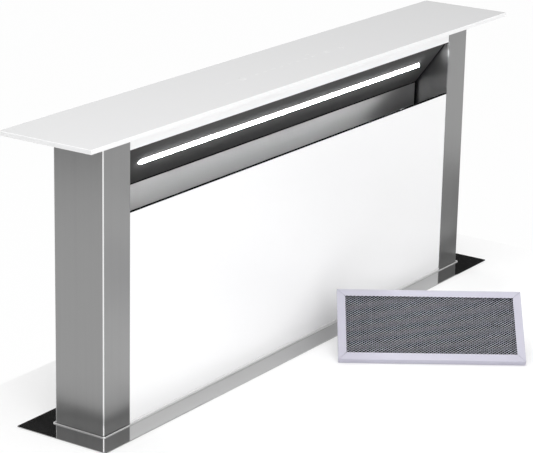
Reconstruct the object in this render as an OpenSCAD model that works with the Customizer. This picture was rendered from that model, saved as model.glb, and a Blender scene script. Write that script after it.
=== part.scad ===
// Downdraft kitchen vent: a motor lifts a slim intake tower out of the worktop.
// Millimetres. X runs along the width, Y to the back, Z up.
// The origin is the centre of the worktop cut-out, on the worktop's top surface.
// The tower is drawn raised, with one grease filter lying by itself in front of it.

/* [Tower] */
// Width over the two columns
tower_w = 770; // [740:1:776]
// Depth of the tower
tower_d = 67.5; // [66:0.5:68]
// Height that shows above the worktop plate
tower_h = 335; // [325:1:340]
// Length of the tower that stays in the casing when it is raised
tail_h = 80; // [70:1:90]
// Width of each steel column, seen from the front
column_w = 46; // [42:1:50]
// Height of the strip under the glass top
fascia_h = 22; // [18:1:26]
// Height of the open intake
intake_h = 69.5; // [64:0.5:74]
// Depth from the tower's front to the wall behind the intake
wall_in = 46; // [44:0.5:47]
// Drop of the sloped canopy from front to back
slope_drop = 59; // [55:1:62]
// How far the glass panel stands back from the columns
panel_recess = 0.6; // [0.2:0.1:1.5]

/* [Glass] */
// How far the glass top reaches past each end of the tower
glass_side = 55; // [40:1:65]
// How far the glass top reaches past the tower's front and back
glass_front = 28.25; // [27.25:0.25:31.25]
// Thickness of the glass top
glass_t = 5; // [4:0.5:6]
// Ground edge of the glass top
glass_edge = 0.7; // [0.3:0.1:1]
// Thickness of the front glass
panel_t = 4; // [3:0.5:5]
// Distance from each end of the light strip to the column
led_end = 42.7; // [30:0.1:90]
// Width of the light strip
led_w = 12.4; // [10:0.2:14]
// Distance down the slope to the middle of the light strip
led_pos = 31.4; // [28:0.2:34]

/* [Worktop plate] */
// How far the worktop plate reaches past each end of the casing
flange_side = 14; // [10:1:22]
// How far the worktop plate reaches past the casing's front and back
flange_front = 12; // [10:1:14]
// Thickness of the worktop plate
flange_t = 1; // [0.8:0.1:1.5]
// Thickness of the sealing tape under it
tape_t = 0.5; // [0.4:0.1:1]
// Height of the lip round the tower
lip_h = 2; // [1.5:0.5:3]

/* [Casing] */
// Room for the guide rails between the tower and each side of the casing
side_room = 18; // [17:0.5:21]
// Depth of the casing
casing_d = 100; // [98:1:102]
// Height of the casing
casing_h = 650; // [630:1:680]
// Height of the casing above the cabinet floor
foot_drop = 40; // [30:1:90]
// Sheet steel of casing and tower
sheet = 1.2; // [1:0.1:1.5]

/* [Lift] */
// Tooth module of rack and pinion
gear_m = 1.5; // [1.5:0.05:1.6]
// Teeth of each pinion
pinion_teeth = 18; // [18:1:19]
// Width of rack and pinion
gear_w = 12; // [10:1:14]
// Diameter of the cross shaft
shaft_d = 10; // [8:1:12]

/* [Filters] */
// Number of filters across the tower
filter_n = 3; // [2:1:3]
// Gap between neighbouring filters, and beside the outer ones
bay_gap = 1.35; // [1:0.05:6]
// Height of one filter
filter_h = 104; // [90:1:110]
// Thickness of one filter
filter_t = 8; // [6:0.5:9]
// Width of the filter's frame
filter_rim = 10; // [9:0.5:14]

/* [Blower] */
// Radius of the fan wheel
wheel_r = 85; // [78:1:88]
// Length of the fan wheel
wheel_l = 76; // [60:1:84]
// Blades of the fan wheel
blade_n = 36; // [24:1:42]
// Outer radius of the duct outlet
duct_r = 74.5; // [70:0.5:76]
// Length of the duct outlet
duct_l = 80; // [76:1:100]

/* [Hidden] */
$fn = 48;

// Running gap between pieces that slide
run_gap = 0.3;
// Radial gap of a shaft in its bore
shaft_gap = 0.05;
// Overrun of every cut
cut = 2;
// Outer bend radius of the sheet steel
bend_r = 1.6;
// Open joint between the intake's steel sheets and the cheeks
joint_gap = 3;

// Gap between the tower and the lip round it, the lip's wall and the gap under panel and lowered glass
lip_gap = 1;
lip_t = 1;
rest_gap = 1;

// Widths and depths that follow from the tower and the casing
glass_w = tower_w + 2 * glass_side;
glass_d = tower_d + 2 * glass_front;
casing_w = tower_w + 2 * side_room;
flange_w = casing_w + 2 * flange_side;
flange_d = casing_d + 2 * flange_front;
floor_drop = casing_h + foot_drop;

z_plate = tape_t + flange_t;
z_lip = z_plate + lip_h;
z_top = z_plate + tower_h;
z_fascia = z_top - fascia_h;
z_panel = z_fascia - intake_h;
z_foot = z_lip + rest_gap;
z_wall = z_fascia - slope_drop;
x_side = tower_w / 2;
x_col = x_side - column_w;
x_in = x_col - run_gap;
y_front = -tower_d / 2;
y_back = tower_d / 2;
y_in = y_back - sheet;
y_glass = y_front + panel_recess;
y_wall = y_front + wall_in;
lift_travel = tower_h - lip_h - rest_gap;

// Strip under the glass top, and the slope behind it
fascia_t = 2;
carrier_t = 2;
y_slope = y_glass + fascia_t;
slope_a = atan2(slope_drop, y_wall - y_slope);
canopy_lap = 14;

// Light strip: length, lens fit, channel wall and depth, board and chips
led_l = 2 * (x_in - led_end);
led_fit = 0.1;
led_wall = 1.5;
led_depth = 8;
led_lip = 3;
board_t = 1.6;
chip = 3;
chip_h = 0.8;
chip_n = 48;

// Touch board under the glass
touch_w = 300;
touch_d = 44;
touch_x = 60;

// Panel backing, its turned edges and magnets
backing_t = 1.2;
backing_inset = 3;
backing_fold = 6;
magnet_r = 7;
magnet_l = 8;
magnet_z_shares = [0.12, 0.9];
magnet_arm = 22;

// Grease tray and the filters' place in the wall
tray_h = 14;
tray_t = 1;
filter_drop = 55.5;
filter_w = (2 * x_in - (filter_n + 1) * bay_gap) / filter_n;
filter_z = z_wall - filter_drop - filter_h;
ledge_h = 6;
filter_lift = 7;
mesh_t = 1;
mesh_in = 2;
mesh_x = 22;
mesh_z = 11;
strand = 1.6;
pad_t = 2;
handle_d = 3;
handle_w = 86;
handle_foot = 42;
handle_l = filter_h - handle_foot;
handle_bend = 9;
handle_pin = 3.75;
ear_w = 8;
ear_t = 1.5;
ear_h = 9;

// Where the loose filter stands: its near corner, gap to the lowered glass, heading and tilt
loose_x = -35;
loose_gap = 0.6;
loose_turn = -55;
loose_tilt = 34;
loose_y = -glass_d / 2 - loose_gap - filter_h * cos(loose_tilt) * cos(loose_turn);
pivot_y = handle_d / 2 + run_gap;
pivot_z = filter_h - filter_rim / 2;
pivot_up = pivot_z * sin(loose_tilt) - pivot_y * cos(loose_tilt);
prop_swing = 180 - asin((pivot_up - handle_d / 2) / handle_l) - loose_tilt;

// Carriage plate, its windows, shaft bearings and motor
plate_t = 3;
bar_w = 44;
rim_w = 14;
pinion_r = gear_m * pinion_teeth / 2;
tooth_pitch = PI * gear_m;
backlash = 0.5;
pressure_a = 20;
rack_back = 6;
root_drop = 1.25 * gear_m;
y_shell = casing_d / 2 - sheet;
rack_y = y_shell - rack_back - root_drop;
shaft_y = rack_y - pinion_r;
shaft_drop = 18;
shaft_z = -tail_h - plate_t - shaft_drop;
gear_in = 20;
gear_x = x_col - gear_in;
shaft_over = 8;
bearing_w = 12;
bearing_wall = 7;
collar_w = 4;
motor_r = 18;
motor_l = 84;
motor_y = -4;
gearbox_w = 40;
gearbox_wall = 5;
gearbox_r = 4;

// Guides on the casing's sides
shoe_h = 48;
shoe_w = 24.4;
rail_t = 1.5;
rail_gap = 2;
rail_gap_top = 10;
rail_l = 430;

// Casing details
fold_w = 12;
tape_w = 10;
tape_in = 3;
wiper_w = 6;
wiper_h = 8;
screw_r = 2;
screw_head_r = 3.8;
screw_head_h = 2.2;
screw_l = 6;
screw_n = 7;
clamp_w = 30;
clamp_arm = 34;
clamp_top = 24;
clamp_leg = 70;
clamp_t = 2;
worktop_t = 38;
bolt_r = 3;
bolt_head_r = 8;
bolt_head_h = 3;
foot_w = 44;
foot_arm = 32;
foot_lap = 70;
foot_leg = foot_drop + foot_lap;
slot_w = 6.5;
slot_l = 20;

// Blower: scroll, wheel, motor and outlet
fan_x = -60;
fan_foot = 34;
wheel_room = 11;
scroll_r = wheel_r + wheel_room;
fan_z = -casing_h + scroll_r + fan_foot;
scroll_grow = 70;
scroll_a = 45;
scroll_turn = 315;
scroll_steps = 42;
scroll_wall = 2.5;
wheel_back = 42;
scroll_l = wheel_l + wheel_back;
mouth_out = 54;
mouth_x = scroll_r + mouth_out;
plate_in = 3;
flange_out = 12;
blade_d = 15;
eye_r = wheel_r - blade_d;
throat_in = 4;
throat_r = eye_r - throat_in;
inlet_l = 12;
inlet_r = throat_r + inlet_l;
inlet_rim = 9;
ring_t = 2;
blade_t = 1;
blade_sweep = 14;
blade_steps = 4;
wheel_gap = 9;
hub_r = 14;
hub_l = 26;
axle_r = 4;
axle_in = 20;
motor_case_r = 46;
motor_case_l = 58;
motor_in = 16;
motor_flange_r = 62;
motor_flange_t = 2.5;
adapter_l = 58;
duct_wall = 1.5;
bead_r = 1.2;
flap_t = 1.2;
flap_pin_r = 1.5;
flap_sleeve_r = 2.8;
flap_gap = 3.6;
flap_in = 5;

y_blower = -casing_d / 2;
y_wheel = y_blower - plate_in - wheel_gap;
y_cover = y_blower - plate_in - scroll_l;
y_hub = y_wheel - ring_t - wheel_l + hub_l;
duct_x = fan_x + mouth_x + adapter_l;
mouth_low = scroll_r * sin(scroll_a);
mouth_top = scroll_r + scroll_grow;
duct_z = fan_z + (mouth_low + mouth_top) / 2;
duct_y = y_blower - duct_r - flange_out - rest_gap;

// Control box on the casing's front
box_w = 140;
box_d = 56;
box_h = 200;
box_in = 28;
box_x = -casing_w / 2 + box_in;
box_z = -330;
box_wall = 2;
box_r = 5;
gland_r = 9;
gland_l = 18;
gland_bore = 4;

// Flat outline with rounded corners, made of true arcs
module bent(w, d, r) {
    square([w - 2 * r, d], center = true);
    square([w, d - 2 * r], center = true);
    for (x = [-1, 1], y = [-1, 1])
        translate([x * (w / 2 - r), y * (d / 2 - r)])
            circle(r = r);
}

// A profile drawn in the Y-Z plane and pulled out along X, about the middle
module along_x(l) {
    rotate([90, 0, 90])
        translate([0, 0, -l / 2])
            linear_extrude(l)
                children();
}

// A profile drawn in the X-Z plane and pulled out from y towards the front
module to_front(y, l) {
    translate([0, y, 0])
        rotate([90, 0, 0])
            linear_extrude(l)
                children();
}

// A piece drawn for the right side, or its mirror image on the left where side is -1
module at_side(side) {
    scale([side, 1, 1])
        children();
}

// The slope's own frame: X along the width, Y down the slope, Z away from the intake
module on_slope() {
    translate([0, y_slope, z_fascia])
        rotate([-slope_a, 0, 0])
            children();
}

// A plate in the Y-Z plane
module side_plate(x, t, y0, y1, z0, z1) {
    translate([x, y0, z0])
        cube([t, y1 - y0, z1 - z0]);
}

module slab(x0, x1, y0, y1, z0, z1) {
    translate([x0, y0, z0])
        cube([x1 - x0, y1 - y0, z1 - z0]);
}

// Glass top and what hangs from it
module glass_top() {
    color("white")
        translate([0, 0, z_top])
            difference() {
                linear_extrude(glass_t)
                    bent(glass_w, glass_d, glass_edge);
                for (side = [-1, 1]) {
                    translate([side * glass_w / 2, 0, glass_t])
                        rotate([0, 45, 0])
                            cube([glass_edge, glass_d + cut, glass_edge], center = true);
                    translate([0, side * glass_d / 2, glass_t])
                        rotate([45, 0, 0])
                            cube([glass_w + cut, glass_edge, glass_edge], center = true);
                }
            }
}

module top_carrier() {
    color("silver")
        difference() {
            slab(-x_in, x_in, y_glass + fascia_t + sheet, y_in, z_top - carrier_t, z_top);
            translate([touch_x, 0, z_top])
                cube([touch_w + 2 * run_gap, touch_d + 2 * run_gap, 2 * (carrier_t + cut)], center = true);
        }
}

module touch_board() {
    color("darkgreen") {
        slab(touch_x - touch_w / 2, touch_x + touch_w / 2, -touch_d / 2, touch_d / 2, z_top - board_t, z_top);
        for (i = [-3:3])
            translate([touch_x + i * touch_w / 8, 0, z_top - board_t - chip_h])
                cylinder(r = chip, h = chip_h);
    }
}

module fascia_strip() {
    color("white")
        slab(-x_in, x_in, y_glass, y_glass + fascia_t, z_fascia, z_top);
}

// Intake
module canopy_profile() {
    rise = sheet * cos(slope_a);
    back = sheet * sin(slope_a);
    fall = tan(slope_a);
    polygon([
        [y_slope, z_fascia],
        [y_wall, z_wall],
        [y_wall + sheet, z_wall],
        [y_wall + sheet, z_wall - canopy_lap],
        [y_wall + 2 * sheet, z_wall - canopy_lap],
        [y_wall + 2 * sheet, z_fascia + rise - (y_wall + 2 * sheet - y_slope - back) * fall],
        [y_slope + sheet, z_fascia + rise - (sheet - back) * fall],
        [y_slope + sheet, z_top],
        [y_slope, z_top]
    ]);
}

module canopy() {
    color("gray")
        difference() {
            along_x(2 * (x_col - joint_gap))
                canopy_profile();
            on_slope()
                translate([0, led_pos, 0])
                    cube([led_l, led_w, 2 * (sheet + cut)], center = true);
        }
}

module led_profile() {
    color("silver")
        on_slope()
            difference() {
                translate([0, led_pos, sheet + led_depth / 2])
                    cube([led_l + 2 * led_lip, led_w + 2 * led_lip, led_depth], center = true);
                translate([0, led_pos, sheet + led_depth / 2 - led_wall])
                    cube([led_l, led_w, led_depth], center = true);
            }
}

module led_board() {
    z_board = sheet + led_depth - led_wall - board_t;
    color("ivory")
        on_slope() {
            translate([0, led_pos, z_board + board_t / 2])
                cube([led_l - 2 * run_gap, led_w - 2 * run_gap, board_t], center = true);
            for (i = [0:chip_n - 1])
                translate([(i + 0.5 - chip_n / 2) * led_l / chip_n, led_pos, z_board - chip_h / 2])
                    cube([chip, chip, chip_h], center = true);
        }
}

module led_diffuser() {
    color("white")
        on_slope()
            translate([-led_l / 2 + led_fit, led_pos - led_w / 2 + led_fit, 0])
                cube([led_l - 2 * led_fit, led_w - 2 * led_fit, 2 * sheet]);
}

module cheek(side) {
    color("darkgray")
        at_side(side)
            side_plate(x_col, sheet, -y_in, y_in, -tail_h, z_top);
}

module column(side) {
    color("gray")
        at_side(side)
            translate([0, 0, -tail_h])
                linear_extrude(tail_h + z_top)
                    intersection() {
                        difference() {
                            bent(tower_w, tower_d, bend_r);
                            bent(tower_w - 2 * sheet, tower_d - 2 * sheet, bend_r - sheet);
                        }
                        translate([x_col, -tower_d])
                            square([column_w + cut, 2 * tower_d]);
                    }
}

module rear_panel() {
    color("gray")
        slab(-x_in, x_in, y_in, y_back, -tail_h, z_top);
}

module front_skirt() {
    color("gray")
        slab(-x_in, x_in, y_front, y_front + sheet, -tail_h, z_foot - run_gap);
}

// Middle of filter i across the tower
function filter_x(i) = -x_in + bay_gap + filter_w / 2 + i * (bay_gap + filter_w);

// Sheet hook that holds a filter's edge, w either side of its middle; the upper ones leave it room to lift out
module filter_ledge(w, h) {
    depth = filter_t + run_gap + sheet;
    slab(-w, w, -depth, sheet / 2, -sheet, 0);
    slab(-w, w, -depth, sheet - depth, -sheet, h);
}

module filter_wall() {
    color("darkgray") {
        difference() {
            slab(joint_gap - x_col, x_col - joint_gap, y_wall, y_wall + sheet, z_foot, z_wall);
            for (i = [0:filter_n - 1])
                translate([filter_x(i), y_wall, filter_z + filter_h / 2])
                    cube([filter_w - 2 * filter_rim, 2 * (sheet + cut), filter_h - 2 * filter_rim], center = true);
        }
        for (i = [0:filter_n - 1])
            translate([filter_x(i), y_wall, filter_z - run_gap]) {
                filter_ledge(filter_w / 3, ledge_h);
                for (side = [-1, 1])
                    translate([side * filter_w / 3, 0, filter_h + filter_lift + 2 * run_gap])
                        mirror([0, 0, 1])
                            filter_ledge(ear_w, filter_lift + ledge_h / 2);
            }
    }
}

module grease_tray() {
    y0 = y_glass + panel_t + backing_t + backing_fold + run_gap;
    color("silver")
        difference() {
            slab(-x_in, x_in, y0, y_wall - run_gap, z_foot, z_foot + tray_h);
            slab(-x_in + tray_t, x_in - tray_t, y0 + tray_t, y_wall - run_gap - tray_t, z_foot + tray_t,
                z_foot + tray_h + cut);
        }
}

// Carriage, shaft and guides
module carriage() {
    window_w = x_col - bar_w / 2 - rim_w;
    color("dimgray")
        translate([0, 0, -tail_h - plate_t])
            linear_extrude(plate_t)
                difference() {
                    bent(tower_w, tower_d, bend_r);
                    for (side = [-1, 1])
                        translate([side * (bar_w / 2 + window_w / 2), 0])
                            bent(window_w, tower_d - 2 * rim_w, gearbox_r);
                }
}

module guide_shoes() {
    color("ivory")
        for (side = [-1, 1])
            at_side(side)
                slab(x_side, casing_w / 2 - sheet - rail_t - run_gap, -shoe_w / 2, shoe_w / 2, -tail_h,
                    -tail_h + shoe_h);
}

module guide_rails() {
    x0 = x_side + rail_gap;
    x1 = casing_w / 2 - sheet;
    half = shoe_w / 2 + run_gap;
    color("silver")
        for (side = [-1, 1])
            at_side(side)
                difference() {
                    slab(x0, x1, -half - rail_t, half + rail_t, -rail_gap_top - rail_l, -rail_gap_top);
                    slab(x0 - cut, x1 - rail_t, -half, half, -rail_gap_top - rail_l - cut, cut);
                }
}

module at_shaft() {
    translate([0, shaft_y, shaft_z])
        rotate([0, 90, 0])
            children();
}

module lift_motor() {
    box_y = motor_y - motor_r - gearbox_wall;
    color("dimgray")
        difference() {
            union() {
                translate([0, 0, -tail_h - plate_t])
                    mirror([0, 0, 1])
                        linear_extrude(2 * shaft_drop)
                            translate([0, (box_y + rack_y) / 2])
                                bent(gearbox_w, rack_y - box_y, gearbox_r);
                translate([gearbox_w / 2, motor_y, shaft_z])
                    rotate([0, 90, 0])
                        cylinder(r = motor_r - gearbox_wall / 2, h = motor_l);
                translate([gearbox_w / 2 + motor_l, motor_y, shaft_z])
                    rotate([0, 90, 0])
                        cylinder(r = motor_r / 3, h = gearbox_wall);
            }
            at_shaft()
                cylinder(r = shaft_d / 2 + shaft_gap, h = gearbox_w + 2 * cut, center = true);
        }
}

module shaft_bearings() {
    wall_r = shaft_d / 2 + bearing_wall;
    color("ivory")
        for (side = [-1, 1])
            difference() {
                union() {
                    translate([side * (gear_x - gear_w - bearing_w), 0, 0])
                        at_shaft()
                            cylinder(r = wall_r, h = bearing_w, center = true);
                    translate([side * (gear_x - gear_w - bearing_w) - bearing_w / 2, shaft_y - wall_r, shaft_z])
                        cube([bearing_w, 2 * wall_r, shaft_drop]);
                }
                translate([side * (gear_x - gear_w - bearing_w), 0, 0])
                    at_shaft()
                        cylinder(r = shaft_d / 2 + shaft_gap, h = bearing_w + 2 * cut, center = true);
            }
}

// Involute tooth: half its angle at radius r, with the backlash shared by both gears
function involute(a) = tan(a) * 180 / PI - a;
function half_tooth(r) = 90 / pinion_teeth - backlash / 4 / pinion_r * 180 / PI
    + involute(pressure_a) - involute(acos(min(1, pinion_r * cos(pressure_a) / r)));
function polar(r, a) = [r * cos(a), r * sin(a)];
tip_r = pinion_r + gear_m;
root_r = pinion_r - root_drop;
base_r = max(pinion_r * cos(pressure_a), root_r);
tooth_steps = 5;
tooth_radii = [for (i = [0:tooth_steps]) base_r + (tip_r - base_r) * i / tooth_steps];
function tooth(c) = concat(
    [polar(root_r, c - half_tooth(base_r))],
    [for (r = tooth_radii) polar(r, c - half_tooth(r))],
    [for (i = [tooth_steps:-1:0]) polar(tooth_radii[i], c + half_tooth(tooth_radii[i]))],
    [polar(root_r, c + half_tooth(base_r))]);

module pinion() {
    linear_extrude(gear_w, center = true)
        polygon([for (i = [0:pinion_teeth - 1]) each tooth(90 + i * 360 / pinion_teeth)]);
}

module lift_shaft() {
    color("silver")
        at_shaft() {
            cylinder(r = shaft_d / 2, h = 2 * (gear_x + gear_w / 2 + shaft_over), center = true);
            for (side = [-1, 1])
                translate([0, 0, side * gear_x]) {
                    pinion();
                    translate([0, 0, side * (gear_w + collar_w) / 2])
                        cylinder(r = root_r, h = collar_w, center = true);
                }
        }
}

module lift_racks() {
    top = shaft_z + tip_r + tooth_pitch;
    teeth = ceil((lift_travel + 2 * tip_r) / tooth_pitch) + 2;
    half_top = tooth_pitch / 4 - backlash / 4 - gear_m * tan(pressure_a);
    half_root = tooth_pitch / 4 - backlash / 4 + root_drop * tan(pressure_a);
    first = ceil((top - shaft_z) / tooth_pitch) - 0.5;
    color("gainsboro")
        for (side = [-1, 1])
            translate([side * gear_x, 0, 0])
                along_x(gear_w) {
                    translate([rack_y + root_drop, shaft_z + (first - teeth) * tooth_pitch])
                        square([rack_back, teeth * tooth_pitch + tooth_pitch / 2]);
                    for (i = [0:teeth - 1])
                        translate([rack_y, shaft_z + (first - i) * tooth_pitch])
                            polygon([
                                [-gear_m, -half_top],
                                [-gear_m, half_top],
                                [root_drop, half_root],
                                [root_drop + gear_m, half_root],
                                [root_drop + gear_m, -half_root],
                                [root_drop, -half_root]
                            ]);
                }
}

// Front panel
module panel_magnets() {
    y0 = y_glass + panel_t + backing_t + run_gap;
    color("dimgray")
        for (side = [-1, 1], share = magnet_z_shares)
            at_side(side)
                translate([x_in - magnet_arm, y0, z_foot + share * (z_panel - z_foot)]) {
                    translate([magnet_r, 0, 0])
                        rotate([-90, 0, 0])
                            cylinder(r = magnet_r, h = magnet_l);
                    translate([0, magnet_l, -magnet_r])
                        cube([magnet_arm, sheet, 2 * magnet_r]);
                }
}

module front_glass() {
    color("white")
        slab(-x_in, x_in, y_glass, y_glass + panel_t, z_foot, z_panel);
}

module front_glass_backing() {
    y0 = y_glass + panel_t;
    w = x_in - backing_inset;
    z0 = z_foot + backing_inset;
    z1 = z_panel - backing_inset;
    color("silver")
        difference() {
            slab(-w, w, y0, y0 + backing_t + backing_fold, z0, z1);
            slab(-w + backing_t, w - backing_t, y0 + backing_t, y0 + backing_t + backing_fold + cut,
                z0 + backing_t, z1 - backing_t);
        }
}

// Filters, drawn standing in the X-Z plane with the handle's side towards the front
module filter_frame() {
    color("lavender")
        difference() {
            translate([-filter_w / 2, 0, 0])
                cube([filter_w, filter_t, filter_h]);
            translate([-filter_w / 2 + filter_rim, -cut, filter_rim])
                cube([filter_w - 2 * filter_rim, filter_t + 2 * cut, filter_h - 2 * filter_rim]);
            translate([-filter_w / 2 + filter_rim / 2, mesh_in, filter_rim / 2])
                cube([filter_w - filter_rim, filter_t - 2 * mesh_in, filter_h - filter_rim]);
        }
    color("lavender")
        for (side = [-1, 1])
            translate([side * (handle_w / 2 + ear_t), 0, pivot_z])
                rotate([0, 90, 0])
                    difference() {
                        translate([-ear_w / 2, -ear_h / 2, -ear_t / 2])
                            cube([ear_w, ear_h / 2 + mesh_in / 2, ear_t]);
                        translate([0, -pivot_y, 0])
                            cylinder(r = handle_d / 2 + shaft_gap, h = ear_t + 2 * cut, center = true);
                    }
}

module expanded_mesh(w, h) {
    columns = ceil((w + mesh_x) / mesh_x);
    rows = ceil((h + mesh_z) / mesh_z);
    difference() {
        square([w, h], center = true);
        intersection() {
            square([w - strand, h - strand], center = true);
            for (i = [-columns:columns], j = [-rows:rows])
                if ((i + j) % 2 == 0)
                    translate([i * mesh_x / 2, j * mesh_z / 2])
                        polygon([
                            [-mesh_x / 2 + strand, 0],
                            [0, mesh_z / 2 - strand],
                            [mesh_x / 2 - strand, 0],
                            [0, -mesh_z / 2 + strand]
                        ]);
        }
    }
}

module filter_mesh() {
    w = filter_w - filter_rim - 2 * run_gap;
    h = filter_h - filter_rim - 2 * run_gap;
    color("dimgray")
        translate([0, 0, filter_h / 2])
            to_front(filter_t - mesh_in - run_gap, mesh_t)
                expanded_mesh(w, h);
    color("black")
        translate([0, 0, filter_h / 2])
            to_front(filter_t - mesh_in - run_gap - mesh_t, pad_t)
                square([w, h], center = true);
}

// Bail handle of bent wire, at rest flat on the frame, hanging down from its two ears
module filter_handle(swing) {
    r = handle_d / 2;
    leg_x = handle_w / 2 - r;
    color("silver")
        translate([0, -pivot_y, pivot_z])
            rotate([-swing, 0, 0])
                for (side = [-1, 1])
                    mirror([side < 0 ? 1 : 0, 0, 0]) {
                        translate([leg_x, 0, 0])
                            rotate([0, 90, 0])
                                cylinder(r = r, h = handle_pin);
                        translate([leg_x, 0, 0])
                            sphere(r = r);
                        translate([leg_x, 0, handle_bend - handle_l])
                            cylinder(r = r, h = handle_l - handle_bend);
                        translate([leg_x - handle_bend, 0, handle_bend - handle_l])
                            rotate([90, 0, 0])
                                rotate([0, 0, -90])
                                    rotate_extrude(angle = 90)
                                        translate([handle_bend, 0])
                                            circle(r = r);
                        translate([0, 0, -handle_l])
                            rotate([0, 90, 0])
                                cylinder(r = r, h = leg_x - handle_bend);
                    }
}

module filter_place(i) {
    translate([filter_x(i), y_wall - filter_t - run_gap / 3, filter_z])
        children();
}

// The loose filter rests on its lower edge, handle side down, propped on the swung-out handle
module loose_filter() {
    translate([loose_x, loose_y, 0])
        rotate([0, 0, loose_turn])
            translate([filter_w / 2, 0, 0])
                rotate([loose_tilt - 90, 0, 0])
                    mirror([0, 1, 0])
                        children();
}

// Worktop plate and seals
module worktop_plate() {
    inner_w = tower_w + 2 * lip_gap;
    inner_d = tower_d + 2 * lip_gap;
    color("dimgray") {
        translate([0, 0, tape_t])
            linear_extrude(flange_t)
                difference() {
                    square([flange_w, flange_d], center = true);
                    bent(inner_w, inner_d, bend_r);
                }
        translate([0, 0, z_plate])
            linear_extrude(lip_h)
                difference() {
                    bent(inner_w + 2 * lip_t, inner_d + 2 * lip_t, bend_r + lip_t);
                    bent(inner_w, inner_d, bend_r);
                }
    }
}

module sealing_tape() {
    w = flange_w - 2 * tape_in;
    d = flange_d - 2 * tape_in;
    tape_y = min(tape_w, (flange_d - casing_d) / 2 - tape_in - run_gap);
    color("black")
        linear_extrude(tape_t)
            difference() {
                square([w, d], center = true);
                square([w - 2 * tape_w, d - 2 * tape_y], center = true);
            }
}

module wiper_seal() {
    w = tower_w + 2 * run_gap;
    d = tower_d + 2 * run_gap;
    color("black")
        translate([0, 0, tape_t - wiper_h])
            linear_extrude(wiper_h)
                difference() {
                    bent(w + 2 * wiper_w, d + 2 * wiper_w, bend_r);
                    bent(w, d, bend_r);
                }
}

// Casing
module casing_shell() {
    front_y = -casing_d / 2 + sheet;
    color("silver")
        difference() {
            translate([0, 0, -casing_h])
                linear_extrude(casing_h + tape_t)
                    difference() {
                        bent(casing_w, casing_d, bend_r);
                        translate([-casing_w / 2 + sheet, front_y + sheet])
                            square([casing_w - 2 * sheet, casing_d - 3 * sheet]);
                        translate([-casing_w, -casing_d])
                            square([2 * casing_w, casing_d + front_y]);
                        translate([-casing_w / 2 + sheet + fold_w, -casing_d])
                            square([casing_w - 2 * (sheet + fold_w), casing_d]);
                    }
            screw_places()
                cylinder(r = screw_r + run_gap / 2, h = 4 * (sheet + cut), center = true);
        }
}

function screw_z(i) = -fold_w * 2 - i * (casing_h - fold_w * 4) / (screw_n - 1);
screw_x = casing_w / 2 - sheet - fold_w / 2;

// Along both edges of the front cover, Z pointing out of the sheet
module screw_places() {
    for (side = [-1, 1], i = [0:screw_n - 1])
        translate([side * screw_x, -casing_d / 2, screw_z(i)])
            rotate([90, 0, 0])
                children();
}

module casing_front() {
    color("silver")
        difference() {
            to_front(-casing_d / 2 + sheet, sheet)
                translate([-casing_w / 2, -casing_h])
                    square([casing_w, casing_h + tape_t]);
            translate([fan_x, -casing_d / 2, fan_z])
                rotate([90, 0, 0])
                    cylinder(r = inlet_r + run_gap, h = 2 * (sheet + cut), center = true);
            screw_places()
                cylinder(r = screw_r + run_gap / 2, h = 2 * (sheet + cut), center = true);
        }
}

module casing_bottom() {
    w = casing_w / 2 - sheet;
    d = casing_d / 2 - 2 * sheet;
    color("silver")
        difference() {
            slab(-w, w, -d, d + sheet, -casing_h, -casing_h + fold_w);
            slab(-w + sheet, w - sheet, -d + sheet, d, -casing_h + sheet, -casing_h + fold_w + cut);
        }
}

module casing_screws() {
    color("gainsboro")
        screw_places()
            difference() {
                union() {
                    cylinder(r = screw_head_r, h = screw_head_h);
                    translate([0, 0, -screw_l])
                        cylinder(r = screw_r, h = screw_l + screw_head_h / 2);
                }
                for (a = [0, 90])
                    rotate([0, 0, a])
                        translate([0, 0, screw_head_h])
                            cube([screw_head_r, screw_r / 2, screw_head_h], center = true);
            }
}

// Angle with a slot in its arm; the leg lies on the casing's side
module angle_slot(arm, leg, w) {
    difference() {
        union() {
            slab(0, clamp_t, -w / 2, w / 2, 0, leg);
            slab(0, arm, -w / 2, w / 2, 0, clamp_t);
        }
        translate([arm / 2 + clamp_t, 0, 0])
            cube([slot_l - slot_w, slot_w, 2 * (clamp_t + cut)], center = true);
        for (x = [-1, 1])
            translate([arm / 2 + clamp_t + x * (slot_l - slot_w) / 2, 0, -cut])
                cylinder(r = slot_w / 2, h = clamp_t + 2 * cut);
    }
}

module worktop_clamps() {
    color("silver")
        for (side = [-1, 1])
            at_side(side) {
                translate([casing_w / 2, 0, -worktop_t - clamp_top])
                    mirror([0, 0, 1])
                        angle_slot(clamp_arm, clamp_leg, clamp_w);
                translate([casing_w / 2 + clamp_arm / 2 + clamp_t, 0, -worktop_t]) {
                    mirror([0, 0, 1])
                        cylinder(r = bolt_r, h = clamp_top * 2);
                    mirror([0, 0, 1])
                        cylinder(r = bolt_head_r, h = bolt_head_h);
                    translate([0, 0, -clamp_top])
                        cylinder(r = bolt_head_r * 2 / 3, h = bolt_head_h + cut, $fn = 6);
                }
            }
}

module floor_feet() {
    color("silver")
        for (side = [-1, 1])
            at_side(side)
                translate([casing_w / 2, 0, -floor_drop])
                    angle_slot(foot_arm, foot_leg, foot_w);
}

// Blower
function scroll_at(a, grow) = scroll_r + grow + scroll_grow * (scroll_a - a) / scroll_turn;
function tongue_a(grow) = asin((mouth_low - grow) / (scroll_r + grow));

// Spiral that widens with the turn and runs out into the straight mouth
module scroll(grow, over) {
    start = tongue_a(grow);
    turn = start - scroll_a + scroll_turn;
    spiral = [for (i = [0:scroll_steps])
        polar(scroll_at(start - i * turn / scroll_steps, grow), start - i * turn / scroll_steps)];
    polygon(concat(spiral, [[mouth_x + over, mouth_top + grow], [mouth_x + over, mouth_low - grow]]));
}

module at_fan() {
    translate([fan_x, 0, fan_z])
        children();
}

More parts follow.
